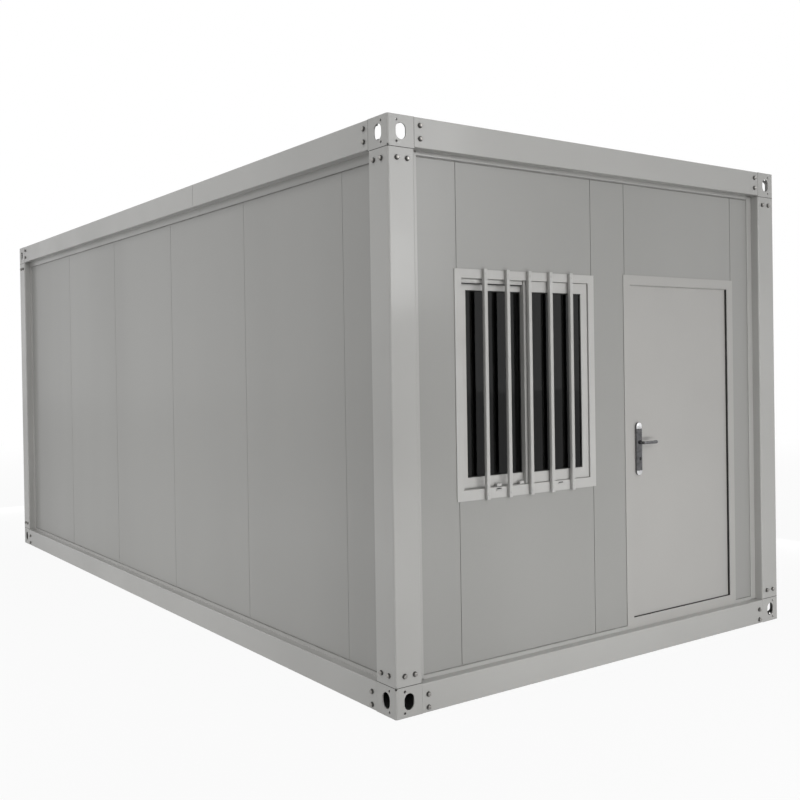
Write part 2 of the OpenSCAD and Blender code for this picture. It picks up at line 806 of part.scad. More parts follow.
// Purlins carry the roof sheet and stand on the roof beams' bottom flanges with a foot at each end.
module roof_purlins() {
  end = half_w - purlin_end;
  foot = half_w - ceiling_inset + fit_gap;
  first = -half_l + corner_w + tongue_l + purlin_w;
  pitch = -2 * first / (purlin_count - 1);
  color("dimgray") for (i = [0 : purlin_count - 1])
    across(first + i * pitch, purlin_w) {
      ridge_outline(end, purlin_bottom, -fit_gap);
      for (x = [-end, foot])
        translate([x, ceiling_z]) square([end - foot, purlin_bottom + cut - ceiling_z]);
    }
}

// The roof sheet: two slopes, standing seams across them, and an edge turned down all round.
module roof_sheet() {
  end = half_w - sheet_inset;
  length = cabin_l - 2 * sheet_inset;
  count = floor((length - roof_seam_w) / roof_seam_pitch);
  first = -count * roof_seam_pitch / 2;
  color("silver") {
    across(0, length) difference() {
      ridge_outline(end, ceiling_z, roof_sheet_t);
      ridge_outline(end - roof_sheet_t, ceiling_z - cut, 0);
    }
    for (side = [-1, 1])
      across(side * (length - roof_sheet_t) / 2, roof_sheet_t)
        ridge_outline(end, ceiling_z, roof_sheet_t / 2);
    for (i = [0 : count])
      across(first + i * roof_seam_pitch, roof_seam_w) difference() {
        ridge_outline(end, ceiling_z, roof_seam_h);
        ridge_outline(end + cut, ceiling_z - cut, roof_sheet_t / 2);
      }
  }
}

// ---- Nodes ---------------------------------------------------------------------------------

top_fitting(false, false);  // top_fitting_front_left
top_fitting(true, false);  // top_fitting_front_right
top_fitting(false, true);  // top_fitting_rear_left
top_fitting(true, true);  // top_fitting_rear_right
base_fitting(false, false);  // base_fitting_front_left
base_fitting(true, false);  // base_fitting_front_right
base_fitting(false, true);  // base_fitting_rear_left
base_fitting(true, true);  // base_fitting_rear_right
column(false, false);  // column_front_left
column(true, false);  // column_front_right
column(false, true);  // column_rear_left
column(true, true);  // column_rear_right
roof_beam_end(false);  // roof_beam_front
roof_beam_end(true);  // roof_beam_rear
roof_beam_side(false);  // roof_beam_left
roof_beam_side(true);  // roof_beam_right
floor_beam_front();
floor_beam_rear();
floor_beam_side(false);  // floor_beam_left
floor_beam_side(true);  // floor_beam_right
front_panel_left();
front_panel_under_window();
front_panel_over_window();
front_panel_middle();
front_panel_over_door();
front_panel_right();
side_wall_panels(false);  // left_wall_panels
side_wall_panels(true);  // right_wall_panels
rear_wall_panels();
window_frame();
window_sash_inner();
window_sash_outer();
window_glass();
door_frame();
door_hinge_jamb();
door_hinge_leaf();
door_leaf();
door_handle_plates();
door_lever();
floor_board();
floor_joists();
skirting();
ceiling();
roof_purlins();
roof_sheet();
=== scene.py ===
"""Portable steel cabin: finishes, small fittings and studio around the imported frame.

Every length is in metres, in the frame's own axes: the front end looks along -Y,
the long walls look along -X and +X, and the ground is at Z = 0.
"""

from __future__ import annotations

import logging
import math
from contextlib import contextmanager
from dataclasses import dataclass, field
from enum import Enum
from functools import cached_property
from typing import Any, Callable, Iterable, Iterator, Sequence

import bmesh
import bpy
from mathutils import Matrix, Vector

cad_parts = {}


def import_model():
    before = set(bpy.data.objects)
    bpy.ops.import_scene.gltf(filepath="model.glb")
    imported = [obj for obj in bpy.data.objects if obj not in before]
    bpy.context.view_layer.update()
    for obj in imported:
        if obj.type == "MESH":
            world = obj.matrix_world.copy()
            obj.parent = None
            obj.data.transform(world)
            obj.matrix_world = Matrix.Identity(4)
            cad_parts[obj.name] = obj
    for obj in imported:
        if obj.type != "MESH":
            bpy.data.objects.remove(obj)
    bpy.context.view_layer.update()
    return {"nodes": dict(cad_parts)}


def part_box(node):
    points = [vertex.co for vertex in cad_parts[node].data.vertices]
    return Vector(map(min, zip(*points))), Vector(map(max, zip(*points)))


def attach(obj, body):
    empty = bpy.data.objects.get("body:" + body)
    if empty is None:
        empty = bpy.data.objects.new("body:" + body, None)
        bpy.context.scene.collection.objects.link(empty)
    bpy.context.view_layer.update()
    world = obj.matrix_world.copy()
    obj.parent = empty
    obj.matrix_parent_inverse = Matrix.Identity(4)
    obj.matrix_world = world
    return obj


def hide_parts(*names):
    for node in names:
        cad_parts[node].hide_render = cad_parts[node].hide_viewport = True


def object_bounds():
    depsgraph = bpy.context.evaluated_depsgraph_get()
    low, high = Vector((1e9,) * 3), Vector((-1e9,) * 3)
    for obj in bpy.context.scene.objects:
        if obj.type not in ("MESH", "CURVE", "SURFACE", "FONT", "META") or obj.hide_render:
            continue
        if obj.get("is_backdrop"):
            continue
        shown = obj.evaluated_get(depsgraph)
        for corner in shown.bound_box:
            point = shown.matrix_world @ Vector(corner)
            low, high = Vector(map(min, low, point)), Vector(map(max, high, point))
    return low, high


Colour = tuple[float, float, float]
Point = tuple[float, float, float]
Socket = bpy.types.NodeSocket

LOG = logging.getLogger("cabin")


class Body(Enum):
    """Moving bodies that a piece can ride on."""

    CABIN = "cabin"
    DOOR = "door"
    LEVER = "lever"


class Slot(Enum):
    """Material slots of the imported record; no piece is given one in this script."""

    WALL = "wall_skin"
    WINDOW = "window_profile"
    DOOR = "door_steel"
    CHROME = "handle_chrome"


class Axis(Enum):
    """World axes, by their number in a point."""

    X = 0
    Y = 1
    Z = 2


class Part(Enum):
    """Parts of a mesh that can be picked, each with the mesh's own list of them."""

    FACE = "faces"
    EDGE = "edges"


class Face(Enum):
    """Outer faces that carry bolts, with the turn that takes a bolt from the front face to it."""

    FRONT = 0.0
    RIGHT = 90.0
    REAR = 180.0
    LEFT = 270.0


@dataclass(frozen=True)
class Corner:
    """One of the cabin's four upright corners."""

    right: bool
    rear: bool

    @property
    def signs(self) -> tuple[int, int]:
        """Signs of X and Y at the corner."""
        return (1 if self.right else -1), (1 if self.rear else -1)

    @property
    def faces(self) -> tuple[Face, Face]:
        """The end face and the long face that meet at the corner."""
        return (Face.REAR if self.rear else Face.FRONT), (Face.RIGHT if self.right else Face.LEFT)

    @property
    def label(self) -> str:
        """The corner's name in the names of its pieces."""
        return f"{'rear' if self.rear else 'front'}_{'right' if self.right else 'left'}"


CORNERS = tuple(Corner(right, rear) for right in (False, True) for rear in (False, True))
SIDES = (("left", -1), ("right", 1))
ENDS = (("front", -1), ("rear", 1))


# ---------------------------------------------------------------- bench work


def deselect_all() -> None:
    """Leaves nothing selected, so that an operator acts only on what is picked next."""
    for obj in bpy.context.selected_objects:
        obj.select_set(False)


def take(obj: bpy.types.Object) -> bpy.types.Object:
    """Makes one object the only selected one and the active one.

    Args:
        obj: The object to take.

    Returns:
        The same object.
    """
    deselect_all()
    obj.select_set(True)
    bpy.context.view_layer.objects.active = obj
    return obj


@contextmanager
def editing(obj: bpy.types.Object) -> Iterator[bpy.types.Object]:
    """Opens an object's mesh for editing and closes it again.

    Args:
        obj: The object whose mesh is shaped.

    Yields:
        The same object, in edit mode.
    """
    take(obj)
    bpy.ops.object.mode_set(mode="EDIT")
    try:
        yield obj
    finally:
        bpy.ops.object.mode_set(mode="OBJECT")


def pick(obj: bpy.types.Object, part: Part, test: Callable[[Any], bool]) -> None:
    """Selects the faces or edges that pass a test, in edit mode.

    Args:
        obj: The object being edited.
        part: What is picked.
        test: Says whether a face or edge is wanted.
    """
    bpy.ops.mesh.select_mode(type=part.name)
    bpy.ops.mesh.select_all(action="DESELECT")
    mesh = bmesh.from_edit_mesh(obj.data)
    for element in filter(test, getattr(mesh, part.value)):
        element.select = True
    mesh.select_flush_mode()
    bmesh.update_edit_mesh(obj.data)


def ease_edges(width: float, flats: int = 2, clamp: bool = True) -> None:
    """Cuts back the picked edges, in edit mode.

    Args:
        width: How far they are cut back.
        flats: Flats in each eased edge.
        clamp: Whether neighbouring cuts stop where they meet.
    """
    bpy.ops.mesh.bevel(offset=width, segments=flats, affect="EDGES", clamp_overlap=clamp)


def step_in(*steps: tuple[float, Point]) -> None:
    """Insets the picked faces by each width and then moves them, in edit mode."""
    for width, move in steps:
        bpy.ops.mesh.inset(thickness=width)
        bpy.ops.transform.translate(value=move)


def faces_towards(direction: Point, close: float = 0.95) -> Callable[[bmesh.types.BMFace], bool]:
    """Makes a test for faces that look in a direction.

    Args:
        direction: The direction, as a unit vector.
        close: The least cosine between the face's normal and the direction.

    Returns:
        The test.
    """
    aim = Vector(direction)
    return lambda face: face.normal.dot(aim) > close


def settle(obj: bpy.types.Object) -> bpy.types.Object:
    """Writes an object's place, turn and scale into its mesh.

    Args:
        obj: The object.

    Returns:
        The same object, at the origin, unturned and unscaled.
    """
    take(obj)
    bpy.ops.object.transform_apply(location=True, rotation=True, scale=True)
    return obj


def modified(obj: bpy.types.Object, kind: str, **settings: Any) -> bpy.types.Object:
    """Adds a modifier and applies it.

    Args:
        obj: The object.
        kind: The modifier's type.
        **settings: The modifier's own settings.

    Returns:
        The same object.
    """
    take(obj)
    modifier = obj.modifiers.new(kind.title(), kind)
    for key, value in settings.items():
        setattr(modifier, key, value)
    bpy.ops.object.modifier_apply(modifier=modifier.name)
    return obj


def block(name: str, low: Point, high: Point, ease: float = 0.0, steps: int = 2) -> bpy.types.Object:
    """Makes a bar or plate between two corners, with eased edges.

    Args:
        name: The object's name.
        low: The lowest corner.
        high: The highest corner.
        ease: How far the edges are cut back.
        steps: Flats in each eased edge.

    Returns:
        The block.
    """
    deselect_all()
    centre = [(a + b) / 2 for a, b in zip(low, high)]
    size = [b - a for a, b in zip(low, high)]
    bpy.ops.mesh.primitive_cube_add(size=1, location=centre, scale=size)
    obj = settle(bpy.context.active_object)
    obj.name = name
    if ease:
        with editing(obj):
            bpy.ops.mesh.select_all(action="SELECT")
            ease_edges(ease, steps)
    return obj


def disc(
    name: str, centre: Point, radius: float, depth: float, axis: Axis, sides: int = 24, ease: float = 0.0
) -> bpy.types.Object:
    """Makes a round or many-sided plug whose rims are eased.

    Args:
        name: The object's name.
        centre: Its middle.
        radius: Its radius, to the corners.
        depth: Its length along the axis.
        axis: The axis that it turns about.
        sides: How many sides it has.
        ease: How far the rims are cut back.

    Returns:
        The plug.
    """
    deselect_all()
    turn = {Axis.X: (0, math.pi / 2, 0), Axis.Y: (math.pi / 2, 0, 0), Axis.Z: (0, 0, 0)}[axis]
    bpy.ops.mesh.primitive_cylinder_add(
        vertices=sides, radius=radius, depth=depth, location=centre, rotation=turn
    )
    obj = settle(bpy.context.active_object)
    obj.name = name
    if ease:
        along = Vector((0.0, 0.0, 0.0))
        along[axis.value] = 1.0
        with editing(obj):
            pick(obj, Part.EDGE, lambda e: is_rim(e, along))
            ease_edges(ease)
    return obj


def is_rim(edge: bmesh.types.BMEdge, along: Vector) -> bool:
    """Says whether an edge lies across a plug's axis."""
    run = (edge.verts[1].co - edge.verts[0].co).normalized()
    return abs(run.dot(along)) < 0.5


def ring(
    name: str, low: Point, high: Point, width: float, ease: float = 0.0, steps: int = 2
) -> bpy.types.Object:
    """Makes a rectangular frame that looks along -Y, such as a gasket or a trim.

    Args:
        name: The object's name.
        low: Lowest corner of the frame's outline.
        high: Highest corner of the frame's outline.
        width: Width of the frame's four sides.
        ease: How far the edges are cut back.
        steps: Flats in each eased edge.

    Returns:
        The frame.
    """
    obj = block(name, low, high)
    with editing(obj):
        pick(obj, Part.FACE, lambda f: abs(f.normal.y) > 0.95)
        bpy.ops.mesh.inset(thickness=width)
        bpy.ops.mesh.bridge_edge_loops()
        bpy.ops.mesh.select_all(action="SELECT")
        bpy.ops.mesh.normals_make_consistent(inside=False)
        if ease:
            pick(obj, Part.EDGE, is_sharp)
            ease_edges(ease, steps)
    return obj


def is_sharp(edge: bmesh.types.BMEdge) -> bool:
    """Says whether two faces meet at an edge at more than 30 degrees."""
    return len(edge.link_faces) == 2 and edge.calc_face_angle(0.0) > math.radians(30)


def twin(obj: bpy.types.Object, name: str, shift: Point = (0, 0, 0), turn: float = 0.0) -> bpy.types.Object:
    """Copies a piece, with its own mesh, turns it about the Z axis and then moves it.

    Args:
        obj: The piece to copy.
        name: The copy's name.
        shift: How far it moves.
        turn: How far it turns about the upright axis, in degrees.

    Returns:
        The copy.
    """
    copy = obj.copy()
    copy.data = obj.data.copy()
    copy.name = name
    bpy.context.scene.collection.objects.link(copy)
    place = Matrix.Translation(Vector(shift)) @ Matrix.Rotation(math.radians(turn), 4, "Z")
    copy.data.transform(place)
    return copy


def joined(name: str, parts: Sequence[bpy.types.Object]) -> bpy.types.Object:
    """Joins parts into one piece.

    Args:
        name: The piece's name.
        parts: The parts, which are used up.

    Returns:
        The piece.
    """
    take(parts[0])
    for part in parts[1:]:
        part.select_set(True)
    if len(parts) > 1:
        bpy.ops.object.join()
    piece = bpy.context.active_object
    piece.name = name
    return piece


def scrap(obj: bpy.types.Object) -> None:
    """Throws away a pattern piece once its copies are made."""
    mesh = obj.data
    bpy.data.objects.remove(obj)
    bpy.data.meshes.remove(mesh)


def smooth(obj: bpy.types.Object, angle: float = 35.0) -> bpy.types.Object:
    """Shades a piece smooth, except across edges sharper than an angle in degrees."""
    take(obj)
    bpy.ops.object.shade_smooth_by_angle(angle=math.radians(angle))
    return obj


def fit(
    piece: bpy.types.Object, finish: bpy.types.Material, body: Body
) -> bpy.types.Object:
    """Gives a piece its finish, makes it ride on a body and reports it.

    Args:
        piece: The finished piece.
        finish: Its material.
        body: The body that it moves with.

    Returns:
        The same piece.
    """
    piece.data.materials.clear()
    piece.data.materials.append(finish)
    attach(piece, body.value)
    LOG.info("%s: %d faces on %s", piece.name, len(piece.data.polygons), body.value)
    return piece


# ------------------------------------------------------------------ finishes


def fill(tree: bpy.types.NodeTree, socket: Any, value: Any) -> None:
    """Joins another socket to an input, or sets its value."""
    if isinstance(value, bpy.types.NodeSocket):
        tree.links.new(value, socket)
    else:
        socket.default_value = value


def lay(tree: bpy.types.NodeTree, kind: str, sockets: dict[Any, Any] | None = None, **settings: Any) -> Any:
    """Adds a shader node and fills its sockets.

    Args:
        tree: The tree that gets the node.
        kind: The node's type, without the word ShaderNode.
        sockets: Values or other sockets for its inputs, by name or number.
        **settings: The node's own settings.

    Returns:
        The node.
    """
    node = tree.nodes.new("ShaderNode" + kind)
    for key, value in settings.items():
        setattr(node, key, value)
    for key, value in (sockets or {}).items():
        fill(tree, node.inputs[key], value)
    return node


def calc(tree: bpy.types.NodeTree, operation: str, first: Any, second: Any, clamp: bool = False) -> Socket:
    """Adds a Math node.

    Args:
        tree: The tree that gets the node.
        operation: What the node does.
        first: Its first value or socket.
        second: Its second value or socket.
        clamp: Whether the result is kept between 0 and 1.

    Returns:
        The node's output.
    """
    return lay(tree, "Math", {0: first, 1: second}, operation=operation, use_clamp=clamp).outputs[0]


def spread(
    tree: bpy.types.NodeTree, value: Socket, start: Any, end: Any, low: Any = 0.0, high: Any = 1.0
) -> Socket:
    """Maps a value from one range to another, smoothly.

    Args:
        tree: The tree that gets the node.
        value: The value.
        start: Where the range starts.
        end: Where it ends.
        low: What it gives at the start.
        high: What it gives at the end.

    Returns:
        The mapped value.
    """
    node = lay(tree, "MapRange", {0: value, 1: start, 2: end, 3: low, 4: high})
    node.interpolation_type = "SMOOTHSTEP"
    return node.outputs[0]


def blended(tree: bpy.types.NodeTree, mask: Any, under: Any, over: Any) -> Socket:
    """Mixes two colours by a mask.

    Args:
        tree: The tree that gets the node.
        mask: 0 for the first colour, 1 for the second.
        under: The first colour or its socket.
        over: The second colour or its socket.

    Returns:
        The mixed colour.
    """
    node = lay(tree, "Mix", data_type="RGBA")
    fill(tree, node.inputs[0], mask)
    for key, colour in ((6, under), (7, over)):
        fill(tree, node.inputs[key], (*colour, 1.0) if isinstance(colour, tuple) else colour)
    return node.outputs[2]


def stretched(tree: bpy.types.NodeTree, vector: Socket, scale: Any) -> Socket:
    """Scales a pattern's coordinates along each axis."""
    return lay(tree, "Mapping", {"Vector": vector, "Scale": scale}).outputs[0]


def noise(tree: bpy.types.NodeTree, vector: Socket, scale: Any, detail: float = 2.0) -> Socket:
    """Adds a noise pattern and returns its value."""
    return lay(tree, "TexNoise", {"Vector": vector, "Scale": scale, "Detail": detail}).outputs[0]


class EffectGroup:
    """A shader node group being laid out, with named inputs and one output."""

    def __init__(self, name: str, inputs: dict[str, float | None], output: str) -> None:
        """Makes the empty group.

        Args:
            name: The group's name.
            inputs: The inputs' names and values; None stands for a vector.
            output: The name of the value that it puts out.
        """
        self.tree = bpy.data.node_groups.new(name, "ShaderNodeTree")
        for label, value in inputs.items():
            kind = "NodeSocketVector" if value is None else "NodeSocketFloat"
            socket = self.tree.interface.new_socket(label, in_out="INPUT", socket_type=kind)
            if value is not None:
                socket.default_value = value
        self.tree.interface.new_socket(output, in_out="OUTPUT", socket_type="NodeSocketFloat")
        self.entry = self.tree.nodes.new("NodeGroupInput").outputs
        self.exit = self.tree.nodes.new("NodeGroupOutput").inputs

    def close(self, result: Socket) -> bpy.types.NodeTree:
        """Joins the result to the group's output and returns the group."""
        self.tree.links.new(result, self.exit[0])
        return self.tree


class Effects:
    """Effects that several finishes share, each built once."""

    @cached_property
    def tone(self) -> bpy.types.NodeTree:
        """Slow drift of a coat's tone, from 0 to 1."""
        names = {"Vector": None, "Patches": 1.5, "Spread": 0.2, "Bands": 1.0}
        made = EffectGroup("Coat tone", names, "Factor")
        t = made.tree
        bands = lay(t, "CombineXYZ", {0: 1.0, 1: 1.0, 2: made.entry["Bands"]}).outputs[0]
        upright = stretched(t, made.entry["Vector"], bands)
        drift = noise(t, upright, made.entry["Patches"], 2.0)
        low = calc(t, "SUBTRACT", 0.5, made.entry["Spread"])
        high = calc(t, "ADD", 0.5, made.entry["Spread"])
        return made.close(spread(t, drift, low, high))

    @cached_property
    def ripple(self) -> bpy.types.NodeTree:
        """Height of rolled sheet: upright waves and a fine spray texture, in metres."""
        names = {"Vector": None, "Wave Pitch": 3.0, "Wave Height": 0.0004, "Peel Pitch": 260.0}
        made = EffectGroup("Rolled sheet", {**names, "Peel Height": 0.00001}, "Height")
        t, given = made.tree, made.entry
        upright = stretched(t, given["Vector"], (1.0, 1.0, 0.16))
        wave = noise(t, upright, given["Wave Pitch"], 1.5)
        peel = noise(t, given["Vector"], given["Peel Pitch"], 1.0)
        high = calc(t, "MULTIPLY", wave, given["Wave Height"])
        low = calc(t, "MULTIPLY", peel, given["Peel Height"])
        return made.close(calc(t, "ADD", high, low))

    @cached_property
    def dust(self) -> bpy.types.NodeTree:
        """Site dust: a thin film, marks where rain ran down and splashes near the ground."""
        names = {"Vector": None, "Film": 0.3, "Runs": 0.2, "Splash": 0.3}
        made = EffectGroup("Site dust", names, "Mask")
        t, given = made.tree, made.entry
        film = spread(t, noise(t, given["Vector"], 5.0, 8.0), 0.38, 0.75)
        upright = stretched(t, given["Vector"], (1.0, 1.0, 0.035))
        runs = spread(t, noise(t, upright, 26.0, 3.0), 0.56, 0.78)
        height = lay(t, "SeparateXYZ", {0: given["Vector"]}).outputs[2]
        low = spread(t, height, 0.0, 0.55, 1.0, 0.0)
        spots = spread(t, noise(t, given["Vector"], 38.0, 6.0), 0.42, 0.7)
        parts = [
            calc(t, "MULTIPLY", film, given["Film"]),
            calc(t, "MULTIPLY", runs, given["Runs"]),
            calc(t, "MULTIPLY", calc(t, "MULTIPLY", low, spots), given["Splash"]),
        ]
        two = calc(t, "ADD", parts[0], parts[1])
        return made.close(calc(t, "ADD", two, parts[2], clamp=True))

    @cached_property
    def scratches(self) -> bpy.types.NodeTree:
        """Thin marks of handling, from 0 to 1."""
        names = {"Vector": None, "Pitch": 30.0, "Amount": 0.5}
        made = EffectGroup("Fine scratches", names, "Mask")
        t, given = made.tree, made.entry
        lines = []
        for scale in ((1.0, 1.0, 0.05), (0.06, 0.06, 1.0)):
            level = noise(t, stretched(t, given["Vector"], scale), given["Pitch"], 2.0)
            apart = calc(t, "ABSOLUTE", calc(t, "SUBTRACT", level, 0.5), 0.0)
            lines.append(spread(t, apart, 0.0, 0.006, 1.0, 0.0))
        both = calc(t, "MAXIMUM", lines[0], lines[1])
        worn = spread(t, noise(t, given["Vector"], 3.0, 2.0), 0.5, 0.64)
        marked = calc(t, "MULTIPLY", both, worn)
        return made.close(calc(t, "MULTIPLY", marked, given["Amount"]))


EFFECTS = Effects()


def effect(tree: bpy.types.NodeTree, group: bpy.types.NodeTree, **values: Any) -> Socket:
    """Places a shared effect in a material.

    Args:
        tree: The material's tree.
        group: The effect.
        **values: Its inputs; an underscore stands for a space.

    Returns:
        The effect's output.
    """
    node = tree.nodes.new("ShaderNodeGroup")
    node.node_tree = group
    for key, value in values.items():
        fill(tree, node.inputs[key.replace("_", " ")], value)
    return node.outputs[0]


class Sheet:
    """A material being laid out around one Principled shader."""

    def __init__(self, name: str, **constants: Any) -> None:
        """Makes the material.

        Args:
            name: The material's name.
            **constants: Values for the shader's own sockets; an underscore stands for a space.
        """
        self.material = bpy.data.materials.new(name)
        self.material.use_nodes = True
        self.tree = self.material.node_tree
        self.shader = self.tree.nodes["Principled BSDF"]
        for key, value in constants.items():
            label = {"IOR_Level": "Specular IOR Level"}.get(key, key.replace("_", " "))
            self.shader.inputs[label].default_value = value
        self.place = lay(self.tree, "TexCoord").outputs["Object"]

    def wire(self, **values: Socket) -> None:
        """Joins sockets to the shader's inputs; an underscore stands for a space."""
        for key, value in values.items():
            self.tree.links.new(value, self.shader.inputs[key.replace("_", " ")])

    def bump(self, height: Socket, strength: float = 1.0) -> None:
        """Turns a height in metres into the shader's normal."""
        node = lay(self.tree, "Bump", {"Height": height, "Distance": 1.0, "Strength": strength})
        self.wire(Normal=node.outputs[0])


@dataclass(frozen=True)
class Paint:
    """A sprayed or coil-coated steel finish."""

    name: str
    colour: Colour
    shade: Colour
    roughness: float
    gloss: float = 0.0
    level: float = 0.5
    patches: float = 1.5
    bands: float = 1.0
    wave_pitch: float = 3.0
    wave_height: float = 0.0003
    peel_pitch: float = 240.0
    peel_height: float = 0.000012
    film: float = 0.12
    runs: float = 0.1
    splash: float = 0.35
    scuffs: float = 0.0
    dust_colour: Colour = (0.34, 0.325, 0.3)

    def build(self) -> bpy.types.Material:
        """Lays out the paint: drifting tone, dust, scuffs, rolled waves and spray texture.

        Returns:
            The material.
        """
        made = Sheet(self.name, Coat_Weight=self.gloss, Coat_Roughness=0.12, IOR_Level=self.level)
        t = made.tree
        tone = effect(
            t, EFFECTS.tone, Vector=made.place, Patches=self.patches, Spread=0.3, Bands=self.bands
        )
        dust = effect(
            t, EFFECTS.dust, Vector=made.place, Film=self.film, Runs=self.runs, Splash=self.splash
        )
        colour = blended(t, tone, self.colour, self.shade)
        colour = blended(t, dust, colour, self.dust_colour)
        rough = spread(t, tone, 0.0, 1.0, self.roughness - 0.04, self.roughness + 0.05)
        rough = calc(t, "ADD", rough, calc(t, "MULTIPLY", dust, 0.35))
        height = effect(
            t,
            EFFECTS.ripple,
            Vector=made.place,
            Wave_Pitch=self.wave_pitch,
            Wave_Height=self.wave_height,
            Peel_Pitch=self.peel_pitch,
            Peel_Height=self.peel_height,
        )
        if self.scuffs:
            marks = effect(t, EFFECTS.scratches, Vector=made.place, Pitch=24.0, Amount=self.scuffs)
            colour = blended(t, marks, colour, tuple(0.72 * c for c in self.colour))
            rough = calc(t, "ADD", rough, calc(t, "MULTIPLY", marks, 0.2))
            height = calc(t, "SUBTRACT", height, calc(t, "MULTIPLY", marks, 0.00002))
        made.wire(Base_Color=colour, Roughness=rough)
        made.bump(height)
        return made.material


@dataclass(frozen=True)
class Metal:
    """Bare or plated metal."""

    name: str
    colour: Colour
    dull: Colour
    roughness: float
    pitch: float = 60.0

    def build(self) -> bpy.types.Material:
        """Lays out the metal: drifting tone and fine scratches.

        Returns:
            The material.
        """
        made = Sheet(self.name, Metallic=1.0)
        t = made.tree
        tone = effect(t, EFFECTS.tone, Vector=made.place, Patches=self.pitch, Spread=0.25)
        marks = effect(t, EFFECTS.scratches, Vector=made.place, Pitch=self.pitch * 4, Amount=0.6)
        made.wire(Base_Color=blended(t, tone, self.colour, self.dull))
        rough = spread(t, tone, 0.0, 1.0, self.roughness, self.roughness * 1.6)
        made.wire(Roughness=calc(t, "ADD", rough, calc(t, "MULTIPLY", marks, 0.12)))
        peel = noise(t, made.place, self.pitch * 8, 2.0)
        made.bump(calc(t, "MULTIPLY", peel, 0.000015))
        return made.material


@dataclass(frozen=True)
class Rubber:
    """Black seals and gaskets, or a bead of sealant."""

    name: str
    colour: Colour
    dull: Colour
    roughness: float

    def build(self) -> bpy.types.Material:
        """Lays out the rubber: a dull bloom and a fine grain.

        Returns:
            The material.
        """
        made = Sheet(self.name, IOR_Level=0.35)
        t = made.tree
        tone = effect(t, EFFECTS.tone, Vector=made.place, Patches=14.0, Spread=0.25)
        made.wire(Base_Color=blended(t, tone, self.colour, self.dull))
        made.wire(Roughness=spread(t, tone, 0.0, 1.0, self.roughness, self.roughness + 0.15))
        made.bump(calc(t, "MULTIPLY", noise(t, made.place, 700.0, 2.0), 0.00004))
        return made.material


@dataclass(frozen=True)
class TintedGlass:
    """Dark tinted float glass with a little grime."""

    name: str = "Tinted glass"
    tint: Colour = (0.045, 0.052, 0.05)
    grime: Colour = (0.1, 0.1, 0.09)

    def build(self) -> bpy.types.Material:
        """Lays out the glass: faint roller waves and dusty patches.

        Returns:
            The material.
        """
        made = Sheet(self.name, Transmission_Weight=1.0, IOR=1.36)
        t = made.tree
        dust = effect(t, EFFECTS.dust, Vector=made.place, Film=0.25, Runs=0.3, Splash=0.0)
        made.wire(Base_Color=blended(t, dust, self.tint, self.grime))
        made.wire(Roughness=spread(t, dust, 0.0, 1.0, 0.02, 0.16))
        wave = noise(t, made.place, 5.0, 1.0)
        made.bump(calc(t, "MULTIPLY", wave, 0.0004))
        return made.material


@dataclass(frozen=True)
class BoardFloor:
    """Board floor under a vinyl sheet with a plank pattern."""

    name: str = "Vinyl floor"
    light: Colour = (0.36, 0.25, 0.16)
    dark: Colour = (0.22, 0.14, 0.085)
    plank: float = 0.15

    def build(self) -> bpy.types.Material:
        """Lays out the floor: planks along the cabin, grain, joints and a worn sheen.

        Returns:
            The material.
        """
        made = Sheet(self.name, IOR_Level=0.4)
        t = made.tree
        across = lay(t, "SeparateXYZ", {0: made.place}).outputs[0]
        row = calc(t, "DIVIDE", across, self.plank)
        number = calc(t, "FLOOR", row, 0.0)
        part = calc(t, "FRACT", row, 0.0)
        shift = lay(t, "CombineXYZ", {0: calc(t, "MULTIPLY", number, 3.7), 1: number, 2: 0.0})
        moved = lay(t, "VectorMath", {0: made.place, 1: shift.outputs[0]}, operation="ADD").outputs[0]
        grain = noise(t, stretched(t, moved, (34.0, 1.6, 1.0)), 1.0, 6.0)
        colour = blended(t, spread(t, grain, 0.3, 0.7), self.light, self.dark)
        edge = calc(t, "ABSOLUTE", calc(t, "SUBTRACT", part, 0.5), 0.0)
        joint = spread(t, edge, 0.485, 0.498)
        made.wire(Base_Color=blended(t, joint, colour, (0.06, 0.04, 0.03)))
        made.wire(Roughness=spread(t, grain, 0.3, 0.7, 0.32, 0.5))
        made.bump(calc(t, "MULTIPLY", joint, -0.0006))
        return made.material


